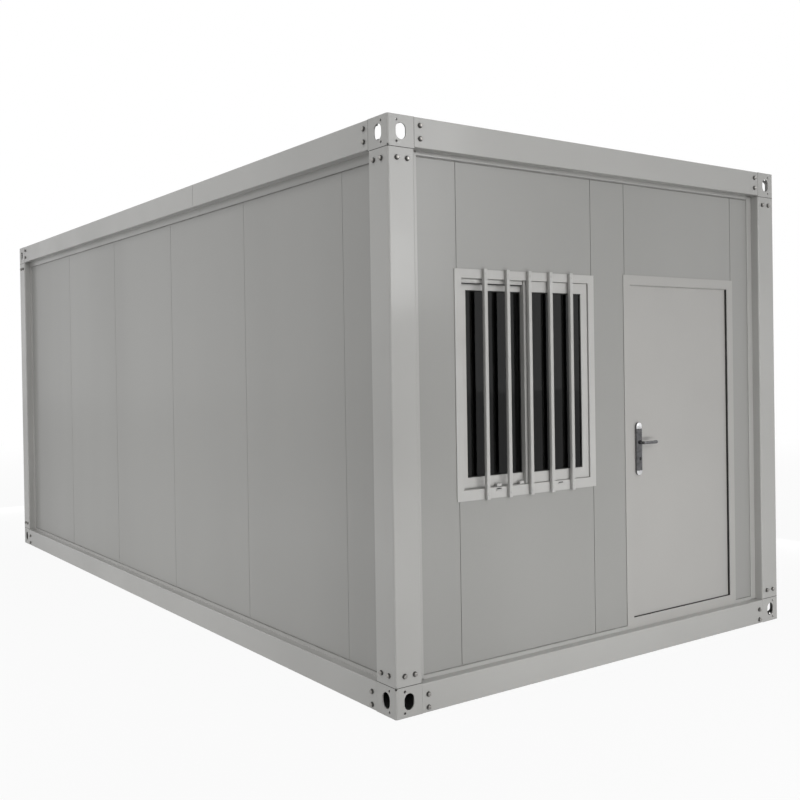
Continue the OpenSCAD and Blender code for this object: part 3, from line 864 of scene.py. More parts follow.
@dataclass
class Finishes:
    """Every finish of the cabin, built once and handed out by name."""

    made: dict[str, bpy.types.Material] = field(default_factory=dict)

    def build(self) -> Finishes:
        """Builds all the finishes.

        Returns:
            The same set.
        """
        for finish in (
            Paint(
                "Frame enamel", (0.366, 0.363, 0.35), (0.342, 0.339, 0.327), 0.33,
                gloss=0.4, wave_pitch=4.0, film=0.03, runs=0.02, splash=0.05, scuffs=0.05,
            ),
            Paint(
                "Wall coating", (0.283, 0.281, 0.27), (0.262, 0.261, 0.25), 0.32,
                gloss=0.15, patches=1.1, bands=0.12, wave_pitch=2.6, wave_height=0.0007,
                film=0.03, runs=0.04, splash=0.05,
            ),
            Paint(
                "Door coating", (0.355, 0.348, 0.335), (0.338, 0.332, 0.32), 0.36,
                wave_height=0.0002, film=0.03, runs=0.02, splash=0.05, scuffs=0.05,
            ),
            Paint(
                "Window profile", (0.43, 0.426, 0.413), (0.405, 0.401, 0.389), 0.34,
                patches=6.0, wave_height=0.00005, runs=0.15, splash=0.0,
            ),
            Paint("Grey primer", (0.1, 0.105, 0.11), (0.08, 0.085, 0.09), 0.6, film=0.3, scuffs=0.4),
            Paint(
                "Inside white", (0.6, 0.6, 0.585), (0.57, 0.57, 0.555), 0.4,
                film=0.03, runs=0.0, splash=0.08,
            ),
            Paint(
                "Roof coating", (0.34, 0.35, 0.35), (0.3, 0.31, 0.31), 0.42,
                film=0.5, runs=0.2, splash=0.0,
            ),
            Metal("Zinc plate", (0.42, 0.41, 0.39), (0.26, 0.25, 0.24), 0.22),
            # Near-black washer colour: painted shade round each bolt head.
            Metal("Dark washer", (0.09, 0.09, 0.088), (0.13, 0.13, 0.125), 0.45),
            # Brighter plate for the handle covers' ends: a painted highlight.
            Metal("Bright plate", (0.85, 0.85, 0.86), (0.7, 0.7, 0.71), 0.08),
            # Chrome colour darkened: a painted reflection of dark surroundings.
            Metal("Chrome plate", (0.2, 0.2, 0.205), (0.13, 0.13, 0.135), 0.08),
            Rubber("Black rubber", (0.012, 0.012, 0.012), (0.03, 0.03, 0.028), 0.55),
            Rubber("Dark sealant", (0.06, 0.06, 0.057), (0.09, 0.09, 0.085), 0.5),
            Rubber("Grey sealant", (0.22, 0.22, 0.21), (0.17, 0.17, 0.16), 0.4),
            TintedGlass(),
            BoardFloor(),
        ):
            self.made[finish.name] = finish.build()
        return self

    def __getitem__(self, name: str) -> bpy.types.Material:
        """Hands out one finish."""
        return self.made[name]


@dataclass(frozen=True)
class NodeDresser:
    """Gives every carried-over node its finish."""

    finishes: Finishes
    by_prefix: tuple[tuple[str, str], ...] = (
        ("top_fitting", "Frame enamel"),
        ("base_fitting", "Frame enamel"),
        ("column", "Frame enamel"),
        ("roof_beam", "Frame enamel"),
        ("floor_beam", "Frame enamel"),
        ("front_panel", "Wall coating"),
        ("left_wall", "Wall coating"),
        ("right_wall", "Wall coating"),
        ("rear_wall", "Wall coating"),
        ("window_glass", "Tinted glass"),
        ("window_", "Window profile"),
        ("door_frame", "Door coating"),
        ("door_leaf", "Door coating"),
        ("door_hinge", "Zinc plate"),
        ("door_handle", "Chrome plate"),
        ("door_lever", "Chrome plate"),
        ("floor_board", "Vinyl floor"),
        ("floor_joists", "Grey primer"),
        ("roof_purlins", "Grey primer"),
        ("skirting", "Inside white"),
        ("ceiling", "Inside white"),
        ("roof_sheet", "Roof coating"),
    )

    def dress(self, nodes: dict[str, bpy.types.Object]) -> None:
        """Puts a finish on each node.

        Args:
            nodes: The nodes by name.
        """
        for name, obj in nodes.items():
            finish = next(f for prefix, f in self.by_prefix if name.startswith(prefix))
            obj.data.materials.clear()
            obj.data.materials.append(self.finishes[finish])
            LOG.info("%s: %s", name, finish)


# -------------------------------------------------------------- cabin pieces


@dataclass(frozen=True)
class Outline:
    """The cabin's outer box."""

    half_w: float
    half_l: float
    height: float

    @classmethod
    def measured(cls) -> Outline:
        """Reads the box from the frame and returns it."""
        _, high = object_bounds()
        return cls(high[0], high[1], high[2])

    def at(self, x: float, depth: float, z: float) -> Point:
        """Gives the point at a depth behind the front face."""
        return (x, -self.half_l + depth, z)


@dataclass
class FrameBolts:
    """Hexagon bolts that join columns, fittings and beams, sixteen at each corner."""

    outline: Outline
    finishes: Finishes
    washer_r: float = 0.0128
    washer_t: float = 0.0025
    head_r: float = 0.0104
    head_t: float = 0.0085
    column_in: tuple[float, float] = (0.052, 0.112)
    column_z: tuple[float, float] = (0.195, 2.6)
    beam_in: float = 0.191
    beam_z: tuple[float, float, float, float] = (0.024, 0.086, 2.7, 2.762)

    def build(self) -> None:
        """Makes one washer and one head, and copies them to every place."""
        # The washers' near-black colour is painted shade round each bolt head.
        for part, pattern, finish in (
            ("washers", self.washer(), "Dark washer"),
            ("bolts", self.head(), "Zinc plate"),
        ):
            for corner in CORNERS:
                self.place(part, pattern, self.finishes[finish], corner)
            scrap(pattern)

    def washer(self) -> bpy.types.Object:
        """Makes the pattern washer, looking along -Y, with its seat at the origin."""
        seat = (0, -self.washer_t / 2, 0)
        return disc("washer", seat, self.washer_r, self.washer_t, Axis.Y, 20, 0.0007)

    def head(self) -> bpy.types.Object:
        """Makes the pattern head: a domed hexagon on the washer.

        Returns:
            The head, looking along -Y.
        """
        middle = -self.washer_t - self.head_t / 2
        head = disc("bolt_head", (0, middle, 0), self.head_r, self.head_t, Axis.Y, 6)
        with editing(head):
            pick(head, Part.FACE, faces_towards((0, -1, 0)))
            step_in((0.0014, (0, -0.0012, 0)), (0.0035, (0, -0.0006, 0)))
            pick(head, Part.EDGE, is_sharp)
            ease_edges(0.0005, 1)
        return head

    def places(self) -> Iterable[tuple[float, float]]:
        """Gives each bolt's distance in from the corner edge and its height."""
        for inset in self.column_in:
            for z in self.column_z:
                yield inset, z
        for z in self.beam_z:
            yield self.beam_in, z

    def place(
        self, part: str, pattern: bpy.types.Object, finish: bpy.types.Material, corner: Corner
    ) -> None:
        """Copies a pattern to both outer faces of one corner.

        Args:
            part: What the copies are.
            pattern: The washer or head.
            finish: Its material.
            corner: The corner.
        """
        side_x, side_y = corner.signs
        end, flank = corner.faces
        half_w, half_l = self.outline.half_w, self.outline.half_l
        copies = []
        for inset, z in self.places():
            at_end = (side_x * (half_w - inset), side_y * half_l, z)
            at_flank = (side_x * half_w, side_y * (half_l - inset), z)
            copies.append(twin(pattern, part, at_end, end.value))
            copies.append(twin(pattern, part, at_flank, flank.value))
        fit(smooth(joined(f"frame_{part}_{corner.label}", copies)), finish, Body.CABIN)


@dataclass
class WindowBars:
    """Five square security bars across the window, fixed to its outer flange."""

    outline: Outline
    finishes: Finishes
    count: int = 5
    centre_x: float = -0.581
    pitch: float = 0.151
    width: float = 0.0215
    front: float = 0.0298
    back: float = 0.0498
    bottom: float = 0.963
    top: float = 2.11

    def build(self) -> None:
        """Makes one bar and copies it across the window."""
        bar = self.model()
        first = self.centre_x - self.pitch * (self.count - 1) / 2
        for number in range(self.count):
            copy = twin(bar, f"window_bar_{number + 1}", (first + number * self.pitch, 0, 0))
            fit(copy, self.finishes["Window profile"], Body.CABIN)
        scrap(bar)

    def model(self) -> bpy.types.Object:
        """Makes the pattern bar: a rounded square tube, capped, with a screw at each end.

        Returns:
            The bar, centred on X = 0.
        """
        half = self.width / 2
        low = self.outline.at(-half, self.front, self.bottom)
        high = self.outline.at(half, self.back, self.top)
        bar = block("bar", low, high)
        with editing(bar):
            pick(bar, Part.EDGE, lambda e: abs((e.verts[1].co - e.verts[0].co).normalized().z) > 0.9)
            ease_edges(0.003, 3, clamp=False)
            for up in (1, -1):
                pick(bar, Part.FACE, faces_towards((0, 0, up)))
                step_in((0.0015, (0, 0, up * 0.0015)))
        parts = [bar]
        for z in (self.bottom + 0.022, self.top - 0.022):
            place = self.outline.at(0, self.front - 0.001, z)
            parts.append(disc("screw", place, 0.0045, 0.003, Axis.Y, 12, 0.0009))
        return smooth(joined("bar_pattern", parts))


@dataclass
class Glazing:
    """Seals round the panes, a cap over the inner sash, drain slots and a latch."""

    outline: Outline
    finishes: Finishes
    stile: float = 0.048
    rail: float = 0.054
    seal: float = 0.005
    seal_t: float = 0.0045
    glass_t: float = 0.005
    track_z: float = 1.0165
    slots: tuple[tuple[float, float], ...] = ((-0.799, 1.0085), (-0.36, 1.0055))
    stops: tuple[float, ...] = (-0.785, -0.628)
    cap_t: float = 0.016
    cap_gap: float = 0.002
    cap_h: float = 0.0195
    brush_h: float = 0.004
    slot_half: float = 0.0165
    hood_half: float = 0.018
    stop_size: float = 0.016
    latch_plate: tuple[float, float] = (0.011, 0.035)
    latch_hub_r: float = 0.013
    latch_arm: tuple[float, float] = (0.048, 0.006)

    def build(self) -> None:
        """Makes the seals, the cap, the drain slots, the stops and the latch."""
        for number, node in enumerate(("window_sash_inner", "window_sash_outer"), start=1):
            self.pane_seal(number, *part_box(node))
        self.head_cap()
        self.drains()
        self.track_stops()
        self.latch()

    def pane_seal(self, number: int, low: Vector, high: Vector) -> None:
        """Makes the two gaskets that hold one pane.

        Args:
            number: The pane's number.
            low: The sash's lowest corner.
            high: Its highest corner.
        """
        middle = (low[1] + high[1]) / 2
        parts = []
        for side in (-1, 1):
            near = middle + side * (self.glass_t / 2 + 0.0002)
            far = near + side * self.seal_t
            parts.append(
                ring(
                    "seal",
                    (low[0] + self.stile, min(near, far), low[2] + self.rail),
                    (high[0] - self.stile, max(near, far), high[2] - self.rail),
                    self.seal,
                    0.0012,
                )
            )
        piece = smooth(joined(f"pane_seal_{number}", parts))
        fit(piece, self.finishes["Black rubber"], Body.CABIN)

    def head_cap(self) -> None:
        """Makes the track cap in front of the inner sash's head, with the brush under it."""
        low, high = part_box("window_sash_inner")
        outer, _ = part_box("window_sash_outer")
        back = low[1] - self.cap_gap
        front, end = back - self.cap_t, outer[0] - 0.003
        top = high[2] - 0.0005
        cap = block("head_cap", (low[0], front, top - self.cap_h), (end, back, top), 0.0012)
        fit(smooth(cap), self.finishes["Window profile"], Body.CABIN)
        under = top - self.cap_h - 0.0005
        brush = block(
            "head_brush", (low[0], front + 0.002, under - self.brush_h), (end, back, under), 0.001
        )
        fit(smooth(brush), self.finishes["Black rubber"], Body.CABIN)

    def drains(self) -> None:
        """Makes the two drain slots in the sill, with a hood under each; each slot is a black block,
        painted shade of the opening.
        """
        for number, (x, z) in enumerate(self.slots, start=1):
            low = self.outline.at(x - self.hood_half, 0.0462, z - 0.009)
            high = self.outline.at(x + self.hood_half, 0.0502, z - 0.0018)
            hood = smooth(block(f"drain_hood_{number}", low, high, 0.0014))
            fit(hood, self.finishes["Window profile"], Body.CABIN)
            # Black block where the slot opens: painted shade of the opening.
            low = self.outline.at(x - self.slot_half, 0.0485, z - 0.0016)
            high = self.outline.at(x + self.slot_half, 0.0501, z + 0.003)
            slit = smooth(block(f"drain_slot_{number}", low, high, 0.0005, 1))
            fit(slit, self.finishes["Black rubber"], Body.CABIN)

    def track_stops(self) -> None:
        """Makes the pale stop blocks that stand in the outer track before the inner sash."""
        for number, x in enumerate(self.stops, start=1):
            low = self.outline.at(x - self.stop_size, 0.06, self.track_z)
            high = self.outline.at(x + self.stop_size, 0.076, self.track_z + self.stop_size)
            stop = block(f"track_stop_{number}", low, high, 0.0025, 3)
            fit(smooth(stop), self.finishes["Window profile"], Body.CABIN)

    def latch(self) -> None:
        """Makes the crescent latch on the inner sash's meeting stile."""
        low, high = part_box("window_sash_inner")
        x, y, z = high[0] - self.stile / 2, high[1], (low[2] + high[2]) / 2
        wide, tall = self.latch_plate
        plate = block("latch_plate", (x - wide, y, z - tall), (x + wide, y + 0.004, z + tall), 0.0012)
        hub = disc("latch_hub", (x, y + 0.009, z), self.latch_hub_r, 0.01, Axis.Y, 28, 0.0016)
        start, end = (z - reach for reach in self.latch_arm)
        arm = block("latch_arm", (x - 0.006, y + 0.006, start), (x + 0.006, y + 0.013, end), 0.0022, 3)
        piece = smooth(joined("sash_latch", [plate, hub, arm]))
        fit(piece, self.finishes["Black rubber"], Body.CABIN)


@dataclass
class DoorSeals:
    """Rubber in the door's stop: black on the hinge side and sill, grey on the lock side and head; the
    black strips are partly painted shade of the gap beside the leaf.
    """

    outline: Outline
    finishes: Finishes
    left: float = 0.207
    right: float = 1.088
    bottom: float = 0.198
    top: float = 2.075
    front: float = 0.0525
    back: float = 0.0632
    hinge_w: float = 0.0038
    lock_w: float = 0.003
    sill_h: float = 0.0025
    gap: float = 0.0005
    fillet: float = 0.0085

    def build(self) -> None:
        """Makes the three strips of the gasket and the filled corner under the head."""
        under_head = self.top - self.fillet - self.gap
        sill_top = self.bottom + self.sill_h
        hinge_x, lock_x = self.right - self.hinge_w, self.left + self.lock_w
        for name, finish, low, high in (
            # The black hinge and sill strips are partly real rubber and partly painted shade of the gap
            # beside the leaf.
            ("hinge", "Black rubber", (hinge_x, self.bottom), (self.right, under_head)),
            ("sill", "Black rubber", (self.left, self.bottom), (hinge_x - self.gap, sill_top)),
            ("lock", "Grey sealant", (self.left, sill_top + self.gap), (lock_x, under_head)),
        ):
            strip = block(
                f"door_gasket_{name}",
                self.outline.at(low[0], self.front, low[1]),
                self.outline.at(high[0], self.back, high[1]),
                0.0008,
            )
            fit(smooth(strip), self.finishes[finish], Body.CABIN)
        self.head_fillet()

    def head_fillet(self) -> None:
        """Makes the sloped filler in the corner between the door's head and the leaf."""
        low = self.outline.at(self.left, self.front - 0.002, self.top - self.fillet)
        near, under = low[1] + 0.001, low[2] + 0.001
        filler = block("door_head_filler", low, self.outline.at(self.right, self.back, self.top))
        with editing(filler):
            pick(filler, Part.EDGE, lambda e: all(v.co.y < near and v.co.z < under for v in e.verts))
            ease_edges(0.008, 3)
        fit(smooth(filler, 50.0), self.finishes["Door coating"], Body.CABIN)


@dataclass
class DoorHandle:
    """Domed covers over the handle's plates, with screws and keyholes, and shaped levers."""

    outline: Outline
    finishes: Finishes
    spindle_x: float = 0.272
    spindle_z: float = 1.18
    spindle_half: float = 0.0035
    radius: float = 0.0226
    bottom: float = 0.9954
    top: float = 1.2926
    face: float = 0.053
    leaf_middle: float = 0.0865
    neck_r: float = 0.0085
    lock_z: float = 1.088
    lock_r: float = 0.009
    arm_depth: float = 0.013
    screws: tuple[float, float] = (1.268, 1.02)
    # Heights past which a cover's ends take the brighter plate colour, a painted highlight.
    highlight_top: float = 1.2586
    highlight_bottom: float = 1.0214
    profile: tuple[tuple[float, float, float], ...] = (
        (0.014, 0.0088, 0.0098),
        (0.022, 0.007, 0.0092),
        (0.03, 0.0064, 0.01),
        (0.028, 0.0064, 0.011),
        (0.01, 0.0052, 0.0092),
    )

    def build(self) -> None:
        """Makes the outside half, copies it for the inside and fits both."""
        chrome = self.finishes["Chrome plate"]
        for name, pattern, finish in (
            ("handle_cover", self.cover(), chrome),
            ("handle_screws", self.small_parts(), self.finishes["Zinc plate"]),
            # The keyway's black is painted shade of the opening.
            ("keyhole", self.keyhole(), self.finishes["Black rubber"]),
        ):
            middle = self.outline.at(self.spindle_x, self.leaf_middle, 0)
            inside = twin(pattern, f"{name}_inside", (2 * middle[0], 2 * middle[1], 0), 180.0)
            pattern.name = f"{name}_outside"
            for piece in (inside, pattern):
                fit(piece, finish, Body.DOOR)
                self.paint_highlight_ends(piece)
        lever = fit(self.lever(), chrome, Body.LEVER)
        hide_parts("door_lever")

    def cover(self) -> bpy.types.Object:
        """Makes the outside cover: round ends, a domed face and holes for neck and lock.

        Returns:
            The cover.
        """
        low = self.outline.at(self.spindle_x - self.radius, self.face - 0.0015, self.bottom)
        high = self.outline.at(self.spindle_x + self.radius, self.face, self.top)
        cover = block("handle_cover", low, high)
        with editing(cover):
            pick(cover, Part.EDGE, lambda e: abs(e.verts[1].co.y - e.verts[0].co.y) > 0.001)
            ease_edges(self.radius * 0.9, 8, clamp=False)
            pick(cover, Part.FACE, faces_towards((0, -1, 0)))
            step_in((0.0012, (0, -0.0012, 0)), (0.0035, (0, -0.0018, 0)), (0.006, (0, -0.0012, 0)))
        for z, radius in ((self.spindle_z, self.neck_r + 0.002), (self.lock_z, self.lock_r + 0.0003)):
            place = self.outline.at(self.spindle_x, self.face - 0.002, z)
            drill = disc("drill", place, radius, 0.03, Axis.Y, 40)
            modified(cover, "BOOLEAN", object=drill, operation="DIFFERENCE", solver="EXACT")
            scrap(drill)
        # Cuts the cover where its painted highlight begins.
        for z in (self.highlight_top, self.highlight_bottom):
            with editing(cover):
                bpy.ops.mesh.select_all(action="SELECT")
                bpy.ops.mesh.bisect(plane_co=(0, 0, z), plane_no=(0, 0, 1))
        return smooth(cover, 30.0)

    def paint_highlight_ends(self, piece: bpy.types.Object) -> None:
        """Gives the faces near a cover's two ends a brighter plate colour: a painted highlight."""
        piece.data.materials.append(self.finishes["Bright plate"])
        for face in piece.data.polygons:
            face.material_index = int(not self.highlight_bottom <= face.center.z <= self.highlight_top)

    def small_parts(self) -> bpy.types.Object:
        """Makes the two dished screws in the outside cover.

        Returns:
            The screws.
        """
        parts = []
        for z in self.screws:
            place = self.outline.at(self.spindle_x, self.face - 0.0062, z)
            screw = disc("screw", place, 0.0042, 0.002, Axis.Y, 20)
            with editing(screw):
                pick(screw, Part.FACE, faces_towards((0, -1, 0)))
                step_in((0.0012, (0, -0.0006, 0)), (0.0015, (0, 0.0012, 0)))
            parts.append(screw)
        return smooth(joined("handle_screws", parts), 30.0)

    def keyhole(self) -> bpy.types.Object:
        """Makes the outside lock's keyway: a round bore over a slot, in black as painted shade of the
        opening.

        Returns:
            The keyway.
        """
        y = self.face - 0.0024
        middle = self.outline.at(self.spindle_x, y, self.lock_z + 0.003)
        bore = disc("bore", middle, 0.0032, 0.001, Axis.Y, 24)
        low = self.outline.at(self.spindle_x - 0.0012, y - 0.0005, self.lock_z - 0.0065)
        high = self.outline.at(self.spindle_x + 0.0012, y + 0.0005, self.lock_z + 0.002)
        slot = block("slot", low, high, 0.0003)
        return smooth(joined("keyhole", [bore, slot]))

    def lever(self) -> bpy.types.Object:
        """Makes both levers on their square spindle.

        Returns:
            The levers as one piece.
        """
        outside = self.arm()
        turned = twin(outside, "arm_inside")
        middle = Vector(self.outline.at(0, self.leaf_middle, self.spindle_z))
        about = Matrix.Translation(middle) @ Matrix.Rotation(math.pi, 4, "X") @ Matrix.Translation(-middle)
        turned.data.transform(about)
        half = self.spindle_half
        low = self.outline.at(self.spindle_x - half, 0.05, self.spindle_z - half)
        high = self.outline.at(self.spindle_x + half, 0.123, self.spindle_z + half)
        return smooth(joined("door_levers", [outside, turned, block("spindle", low, high, 0.0006)]), 50.0)

    def arm(self) -> bpy.types.Object:
        """Makes the outside lever: a stepped neck and a flattened arm with a rounded end.

        Returns:
            The lever.
        """
        x, z = self.spindle_x, self.spindle_z
        length = self.face - 0.0005 - self.arm_depth
        middle = self.outline.at(x, self.arm_depth + length / 2, z)
        neck = disc("neck", middle, self.neck_r, length, Axis.Y, 32, 0.001)
        arm = disc("arm", self.outline.at(x - 0.002, self.arm_depth, z), 0.0086, 0.014, Axis.X, 12)
        with editing(arm):
            pick(arm, Part.FACE, faces_towards((1, 0, 0)))
            at, wide, tall = x + 0.005, 0.0086, 0.0086
            for step, new_wide, new_tall in self.profile:
                bpy.ops.mesh.extrude_region_move(TRANSFORM_OT_translate={"value": (step, 0, 0)})
                at += step
                bpy.ops.transform.resize(
                    value=(1, new_wide / wide, new_tall / tall),
                    center_override=self.outline.at(at, self.arm_depth, z),
                )
                wide, tall = new_wide, new_tall
        modified(arm, "SUBSURF", levels=2, render_levels=2)
        return joined("lever", [arm, neck])


@dataclass
class CornerJoints:
    """Beads of dark sealant where fittings meet columns and roof beams; their darkness is partly painted
    shade of the joint gaps.
    """

    outline: Outline
    finishes: Finishes
    reach: float = 0.155
    bend: float = 0.009
    bead: float = 0.0036
    proud: float = 0.0004
    sunk: float = 0.001
    joints_z: tuple[float, float] = (0.14525, 2.64975)
    beam_low: float = 2.658
    beam_high: float = 2.799

    def build(self) -> None:
        """Makes the beads of all four corners."""
        for corner in CORNERS:
            self.beads(corner)

    def beads(self, corner: Corner) -> None:
        """Makes the beads of one corner.

        Args:
            corner: The corner.
        """
        side_x, side_y = corner.signs
        edge_x, edge_y = side_x * self.outline.half_w, side_y * self.outline.half_l
        out_x, out_y = edge_x + side_x * self.proud, edge_y + side_y * self.proud
        in_x, in_y = edge_x - side_x * self.reach, edge_y - side_y * self.reach
        skin_x, skin_y = edge_x - side_x * self.sunk, edge_y - side_y * self.sunk
        bend_x, bend_y = edge_x - side_x * self.bend, edge_y - side_y * self.bend
        parts = []
        for z in self.joints_z:
            low, high = z - self.bead / 2, z + self.bead / 2
            parts.append(bar_between((bend_x, out_y, low), (in_x, skin_y, high), 0.0003))
            parts.append(bar_between((out_x, bend_y, low), (skin_x, in_y, high), 0.0003))
            parts.append(
                disc("bead", (bend_x, bend_y, z), self.bend + self.proud, self.bead, Axis.Z, 40, 0.0003)
            )
        half = self.bead / 4
        low, high = self.beam_low, self.beam_high
        parts.append(bar_between((in_x - half, out_y, low), (in_x + half, skin_y, high), 0.0002))
        parts.append(bar_between((out_x, in_y - half, low), (skin_x, in_y + half, high), 0.0002))
        # The beads' dark colour is partly painted shade of the joint gaps.
        piece = smooth(joined(f"corner_beads_{corner.label}", parts))
        fit(piece, self.finishes["Dark sealant"], Body.CABIN)


@dataclass
class WallSeals:
    """Weather seals between the walls and the lips of the roof and floor beams; under the roof beams their
    darker grey is partly painted shade below the lips.
    """

    outline: Outline
    finishes: Finishes
    column: float = 0.203
    skin: float = 0.054
    proud: float = 0.0035
    height: float = 0.005
    end_lip: float = 2.632
    side_lip: float = 2.612
    floor_lip: float = 0.158

    def build(self) -> None:
        """Makes the seals of the two ends and the two long walls."""
        end_x = self.outline.half_w - self.column
        side_y = self.outline.half_l - self.column
        # Under the roof beams the strips' darker grey is partly painted shade below the lips.
        for place, end_z, side_z in (
            ("roof", self.end_lip - self.height, self.side_lip - self.height),
            ("floor", self.floor_lip, self.floor_lip),
        ):
            for name, side in ENDS:
                y = side * (self.outline.half_l - self.skin)
                low, high = (-end_x, y, end_z), (end_x, y + side * self.proud, end_z + self.height)
                self.strip(f"{place}_seal_{name}", low, high)
            for name, side in SIDES:
                x = side * (self.outline.half_w - self.skin)
                low, high = (x, -side_y, side_z), (x + side * self.proud, side_y, side_z + self.height)
                self.strip(f"{place}_seal_{name}", low, high)

    def strip(self, name: str, first: Point, second: Point) -> None:
        """Makes one straight run of seal between two corners."""
        run = bar_between(first, second, 0.0012)
        run.name = name
        fit(smooth(run), self.finishes["Grey sealant"], Body.CABIN)


@dataclass
class PanelJoints:
    """Fillers pressed into the grooves between the panels of the long walls and the rear wall."""

    outline: Outline
    finishes: Finishes
    skin: float = 0.054
    depth: float = 0.0032
    sunk: float = 0.0009
    width: float = 0.0042
    ease: float = 0.0004
    first_y: float = -2.512
    pitch: float = 1.05
    count: int = 5
    rear_x: tuple[float, float] = (-0.525, 0.525)
    bottom: float = 0.1595
    side_top: float = 2.611
    rear_top: float = 2.631

    def build(self) -> None:
        """Makes the fillers of three walls."""
        for name, side in SIDES:
            inner = side * (self.outline.half_w - self.skin - self.depth)
            outer = side * (self.outline.half_w - self.skin - self.sunk)
            strips = []
            for number in range(self.count):
                y = self.first_y + number * self.pitch
                low = (inner, y - self.width / 2, self.bottom)
                high = (outer, y + self.width / 2, self.side_top)
                strips.append(bar_between(low, high, self.ease))
            self.close(f"joint_fillers_{name}", strips)
        strips = []
        for x in self.rear_x:
            low = (x - self.width / 2, self.outline.half_l - self.skin - self.depth, self.bottom)
            high = (x + self.width / 2, self.outline.half_l - self.skin - self.sunk, self.rear_top)
            strips.append(bar_between(low, high, self.ease))
        self.close("joint_fillers_rear", strips)

    def close(self, name: str, strips: Sequence[bpy.types.Object]) -> None:
        """Joins one wall's fillers and fits them."""
        fit(smooth(joined(name, strips)), self.finishes["Wall coating"], Body.CABIN)


def bar_between(first: Point, second: Point, ease: float) -> bpy.types.Object:
    """Makes an eased block between any two opposite corners.

    Args:
        first: One corner.
        second: The opposite corner.
        ease: How far its edges are cut back.

    Returns:
        The block.
    """
    low = tuple(min(a, b) for a, b in zip(first, second))
    high = tuple(max(a, b) for a, b in zip(first, second))
    return block("bar", low, high, ease, 1)


# -------------------------------------------------------------------- studio


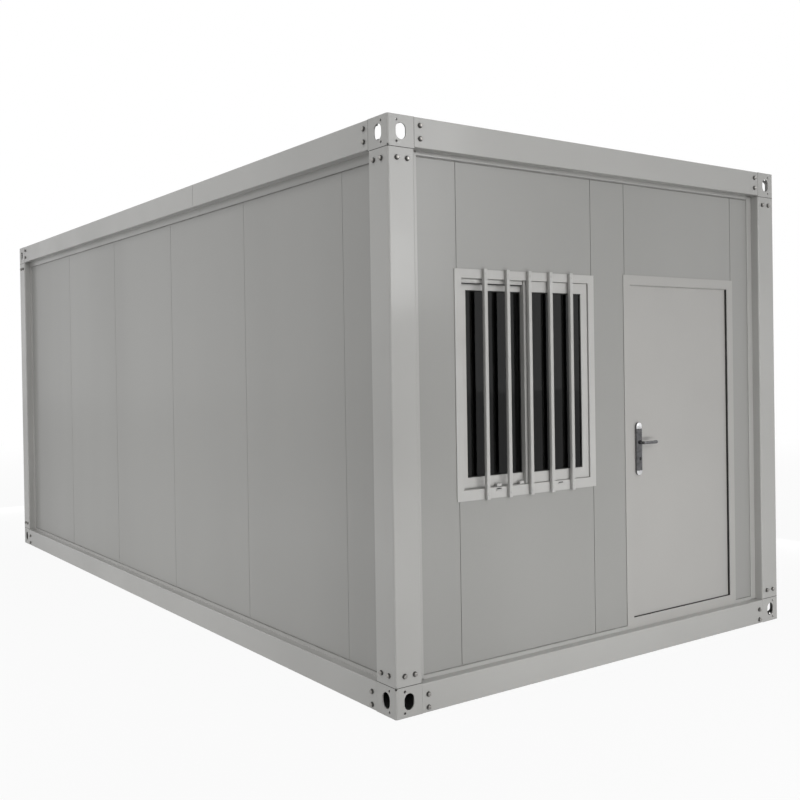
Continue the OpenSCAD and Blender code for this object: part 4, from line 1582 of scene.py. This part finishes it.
@dataclass
class Studio:
    """Camera, plain floor, plain light and a white surround."""

    outline: Outline
    eye: Point = (-4.199, -6.651, 1.643)
    yaw: float = -0.6011
    pitch: float = -0.0088
    roll: float = -0.0157
    lens: float = 44.63
    shift: tuple[float, float] = (0.05125, -0.0329)
    floor_reach: float = 80.0
    sky: float = 0.37
    floor_gleam: float = 0.6
    fade_start: float = 6.0
    fade_end: float = 16.0

    def build(self) -> None:
        """Sets up everything that isn't part of the cabin."""
        self.place_camera()
        self.lay_floor()
        self.light_room()
        self.hang_lamps()
        bpy.context.scene.view_settings.view_transform = "Standard"

    def place_camera(self) -> None:
        """Places the camera at the eye, turned by yaw, pitch and roll."""
        lens = bpy.data.cameras.new("camera")
        lens.lens, lens.sensor_width = self.lens, 36.0
        lens.shift_x, lens.shift_y = self.shift
        lens.clip_end = 200.0
        camera = bpy.data.objects.new("camera", lens)
        bpy.context.scene.collection.objects.link(camera)
        look = Vector(
            (
                -math.sin(self.yaw) * math.cos(self.pitch),
                math.cos(self.yaw) * math.cos(self.pitch),
                math.sin(self.pitch),
            )
        )
        level = Vector((math.cos(self.yaw), math.sin(self.yaw), 0.0))
        upright = level.cross(look)
        right = level * math.cos(self.roll) + upright * math.sin(self.roll)
        up = right.cross(look)
        turn = Matrix((right, up, -look)).transposed().to_4x4()
        camera.matrix_world = Matrix.Translation(Vector(self.eye)) @ turn
        bpy.context.scene.camera = camera

    def lay_floor(self) -> None:
        """Lays the pale floor, which stays near white to the camera and pale in reflections."""
        deselect_all()
        bpy.ops.mesh.primitive_plane_add(size=self.floor_reach, location=(0, 0, -0.001))
        floor = settle(bpy.context.active_object)
        floor.name = "studio_floor"
        made = Sheet("Studio floor", Base_Color=(0.5, 0.5, 0.5, 1.0), Roughness=0.9, IOR_Level=0.1)
        t = made.tree
        rays = lay(t, "LightPath").outputs
        place = lay(t, "TexCoord").outputs["Object"]
        away = lay(t, "VectorMath", {0: place}, operation="LENGTH").outputs["Value"]
        fade = spread(t, away, self.fade_start, self.fade_end, 0.93, 1.0)
        clear = self.clear_of_cabin(t, place)
        gleam = calc(t, "MULTIPLY", rays["Is Glossy Ray"], self.floor_gleam)
        seen = calc(t, "MULTIPLY", rays["Is Camera Ray"], fade)
        seen = calc(t, "MULTIPLY", calc(t, "MAXIMUM", seen, gleam), clear)
        glow = lay(t, "Emission", {"Color": (1.0, 1.0, 1.0, 1.0), "Strength": 1.0})
        mix = lay(t, "MixShader", {0: seen, 1: made.shader.outputs[0], 2: glow.outputs[0]})
        t.links.new(mix.outputs[0], t.nodes["Material Output"].inputs[0])
        floor.data.materials.append(made.material)
        floor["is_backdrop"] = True

    def clear_of_cabin(self, tree: bpy.types.NodeTree, place: Socket) -> Socket:
        """Gives 0 on the floor under the cabin and 1 outside it."""
        parts = lay(tree, "SeparateXYZ", {0: place}).outputs
        beyond = []
        for axis, half in ((Axis.X, self.outline.half_w), (Axis.Y, self.outline.half_l)):
            apart = calc(tree, "ABSOLUTE", parts[axis.value], 0.0)
            beyond.append(calc(tree, "GREATER_THAN", apart, half - 0.01))
        return calc(tree, "MAXIMUM", beyond[0], beyond[1])

    def light_room(self) -> None:
        """Gives plain light from all round, and pure white to the camera, gloss and glass."""
        world = bpy.data.worlds.new("surround")
        bpy.context.scene.world = world
        world.use_nodes = True
        t = world.node_tree
        back = t.nodes["Background"]
        back.inputs["Color"].default_value = (1.0, 1.0, 1.0, 1.0)
        rays = lay(t, "LightPath").outputs
        seen = calc(t, "MAXIMUM", rays["Is Camera Ray"], rays["Is Glossy Ray"])
        seen = calc(t, "MAXIMUM", seen, rays["Is Transmission Ray"])
        strength = lay(t, "MapRange", {0: seen, 1: 0.0, 2: 1.0, 3: self.sky, 4: 1.0})
        t.links.new(strength.outputs[0], back.inputs["Strength"])

    def hang_lamps(self) -> None:
        """Stands a low soft strip and a broad fill before each side, and sheens on two of them."""
        for name, place, aim, size, power in (
            ("front_strip", (0.0, -5.6, 0.25), (0.0, -3.0, 0.4), (3.0, 0.3), 43.0),
            ("front_fill", (-1.8, -9.0, 5.0), (-0.3, -3.0, 1.4), (2.5, 2.5), 120.0),
            ("front_sheen", (2.5, -9.0, 3.5), (-1.2, -3.0, 2.0), (2.4, 2.4), 70.0),
            ("left_strip", (-4.1, 0.0, 0.25), (-1.5, 0.0, 0.4), (5.6, 0.3), 46.0),
            ("left_fill", (-5.9, -2.6, 8.4), (-1.5, -0.3, 1.2), (2.5, 2.5), 235.0),
            ("left_sheen", (-9.0, 2.5, 2.2), (-1.5, 0.0, 1.6), (3.0, 3.0), 11.0),
            ("right_strip", (4.1, 0.0, 0.25), (1.5, 0.0, 0.4), (5.6, 0.3), 48.0),
            ("right_fill", (8.5, 1.5, 5.5), (1.5, 0.0, 1.4), (2.5, 2.5), 180.0),
            ("rear_strip", (0.0, 5.6, 0.25), (0.0, 3.0, 0.4), (3.0, 0.3), 38.0),
            ("rear_fill", (1.5, 9.0, 5.0), (0.3, 3.0, 1.4), (2.5, 2.5), 135.0),
        ):
            lamp = bpy.data.lights.new(name, "AREA")
            lamp.shape, lamp.energy = "RECTANGLE", power
            lamp.size, lamp.size_y = size
            obj = bpy.data.objects.new(name, lamp)
            bpy.context.scene.collection.objects.link(obj)
            obj.location = place
            obj.rotation_euler = (Vector(aim) - Vector(place)).to_track_quat("-Z", "Y").to_euler()
            obj.visible_camera = False
            obj.visible_glossy = name.endswith("sheen")


# ---------------------------------------------------------------------- main


def main() -> None:
    """Loads the frame, dresses it, adds the small pieces and sets up the studio."""
    logging.basicConfig(level=logging.INFO, format="%(name)s: %(message)s")
    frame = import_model()
    outline = Outline.measured()
    finishes = Finishes().build()
    Studio(outline).build()
    NodeDresser(finishes).dress(frame["nodes"])
    for assembly in (
        FrameBolts, WindowBars, Glazing, DoorSeals, DoorHandle, CornerJoints, WallSeals, PanelJoints
    ):
        assembly(outline, finishes).build()
    deselect_all()


if __name__ == "__main__":
    main()
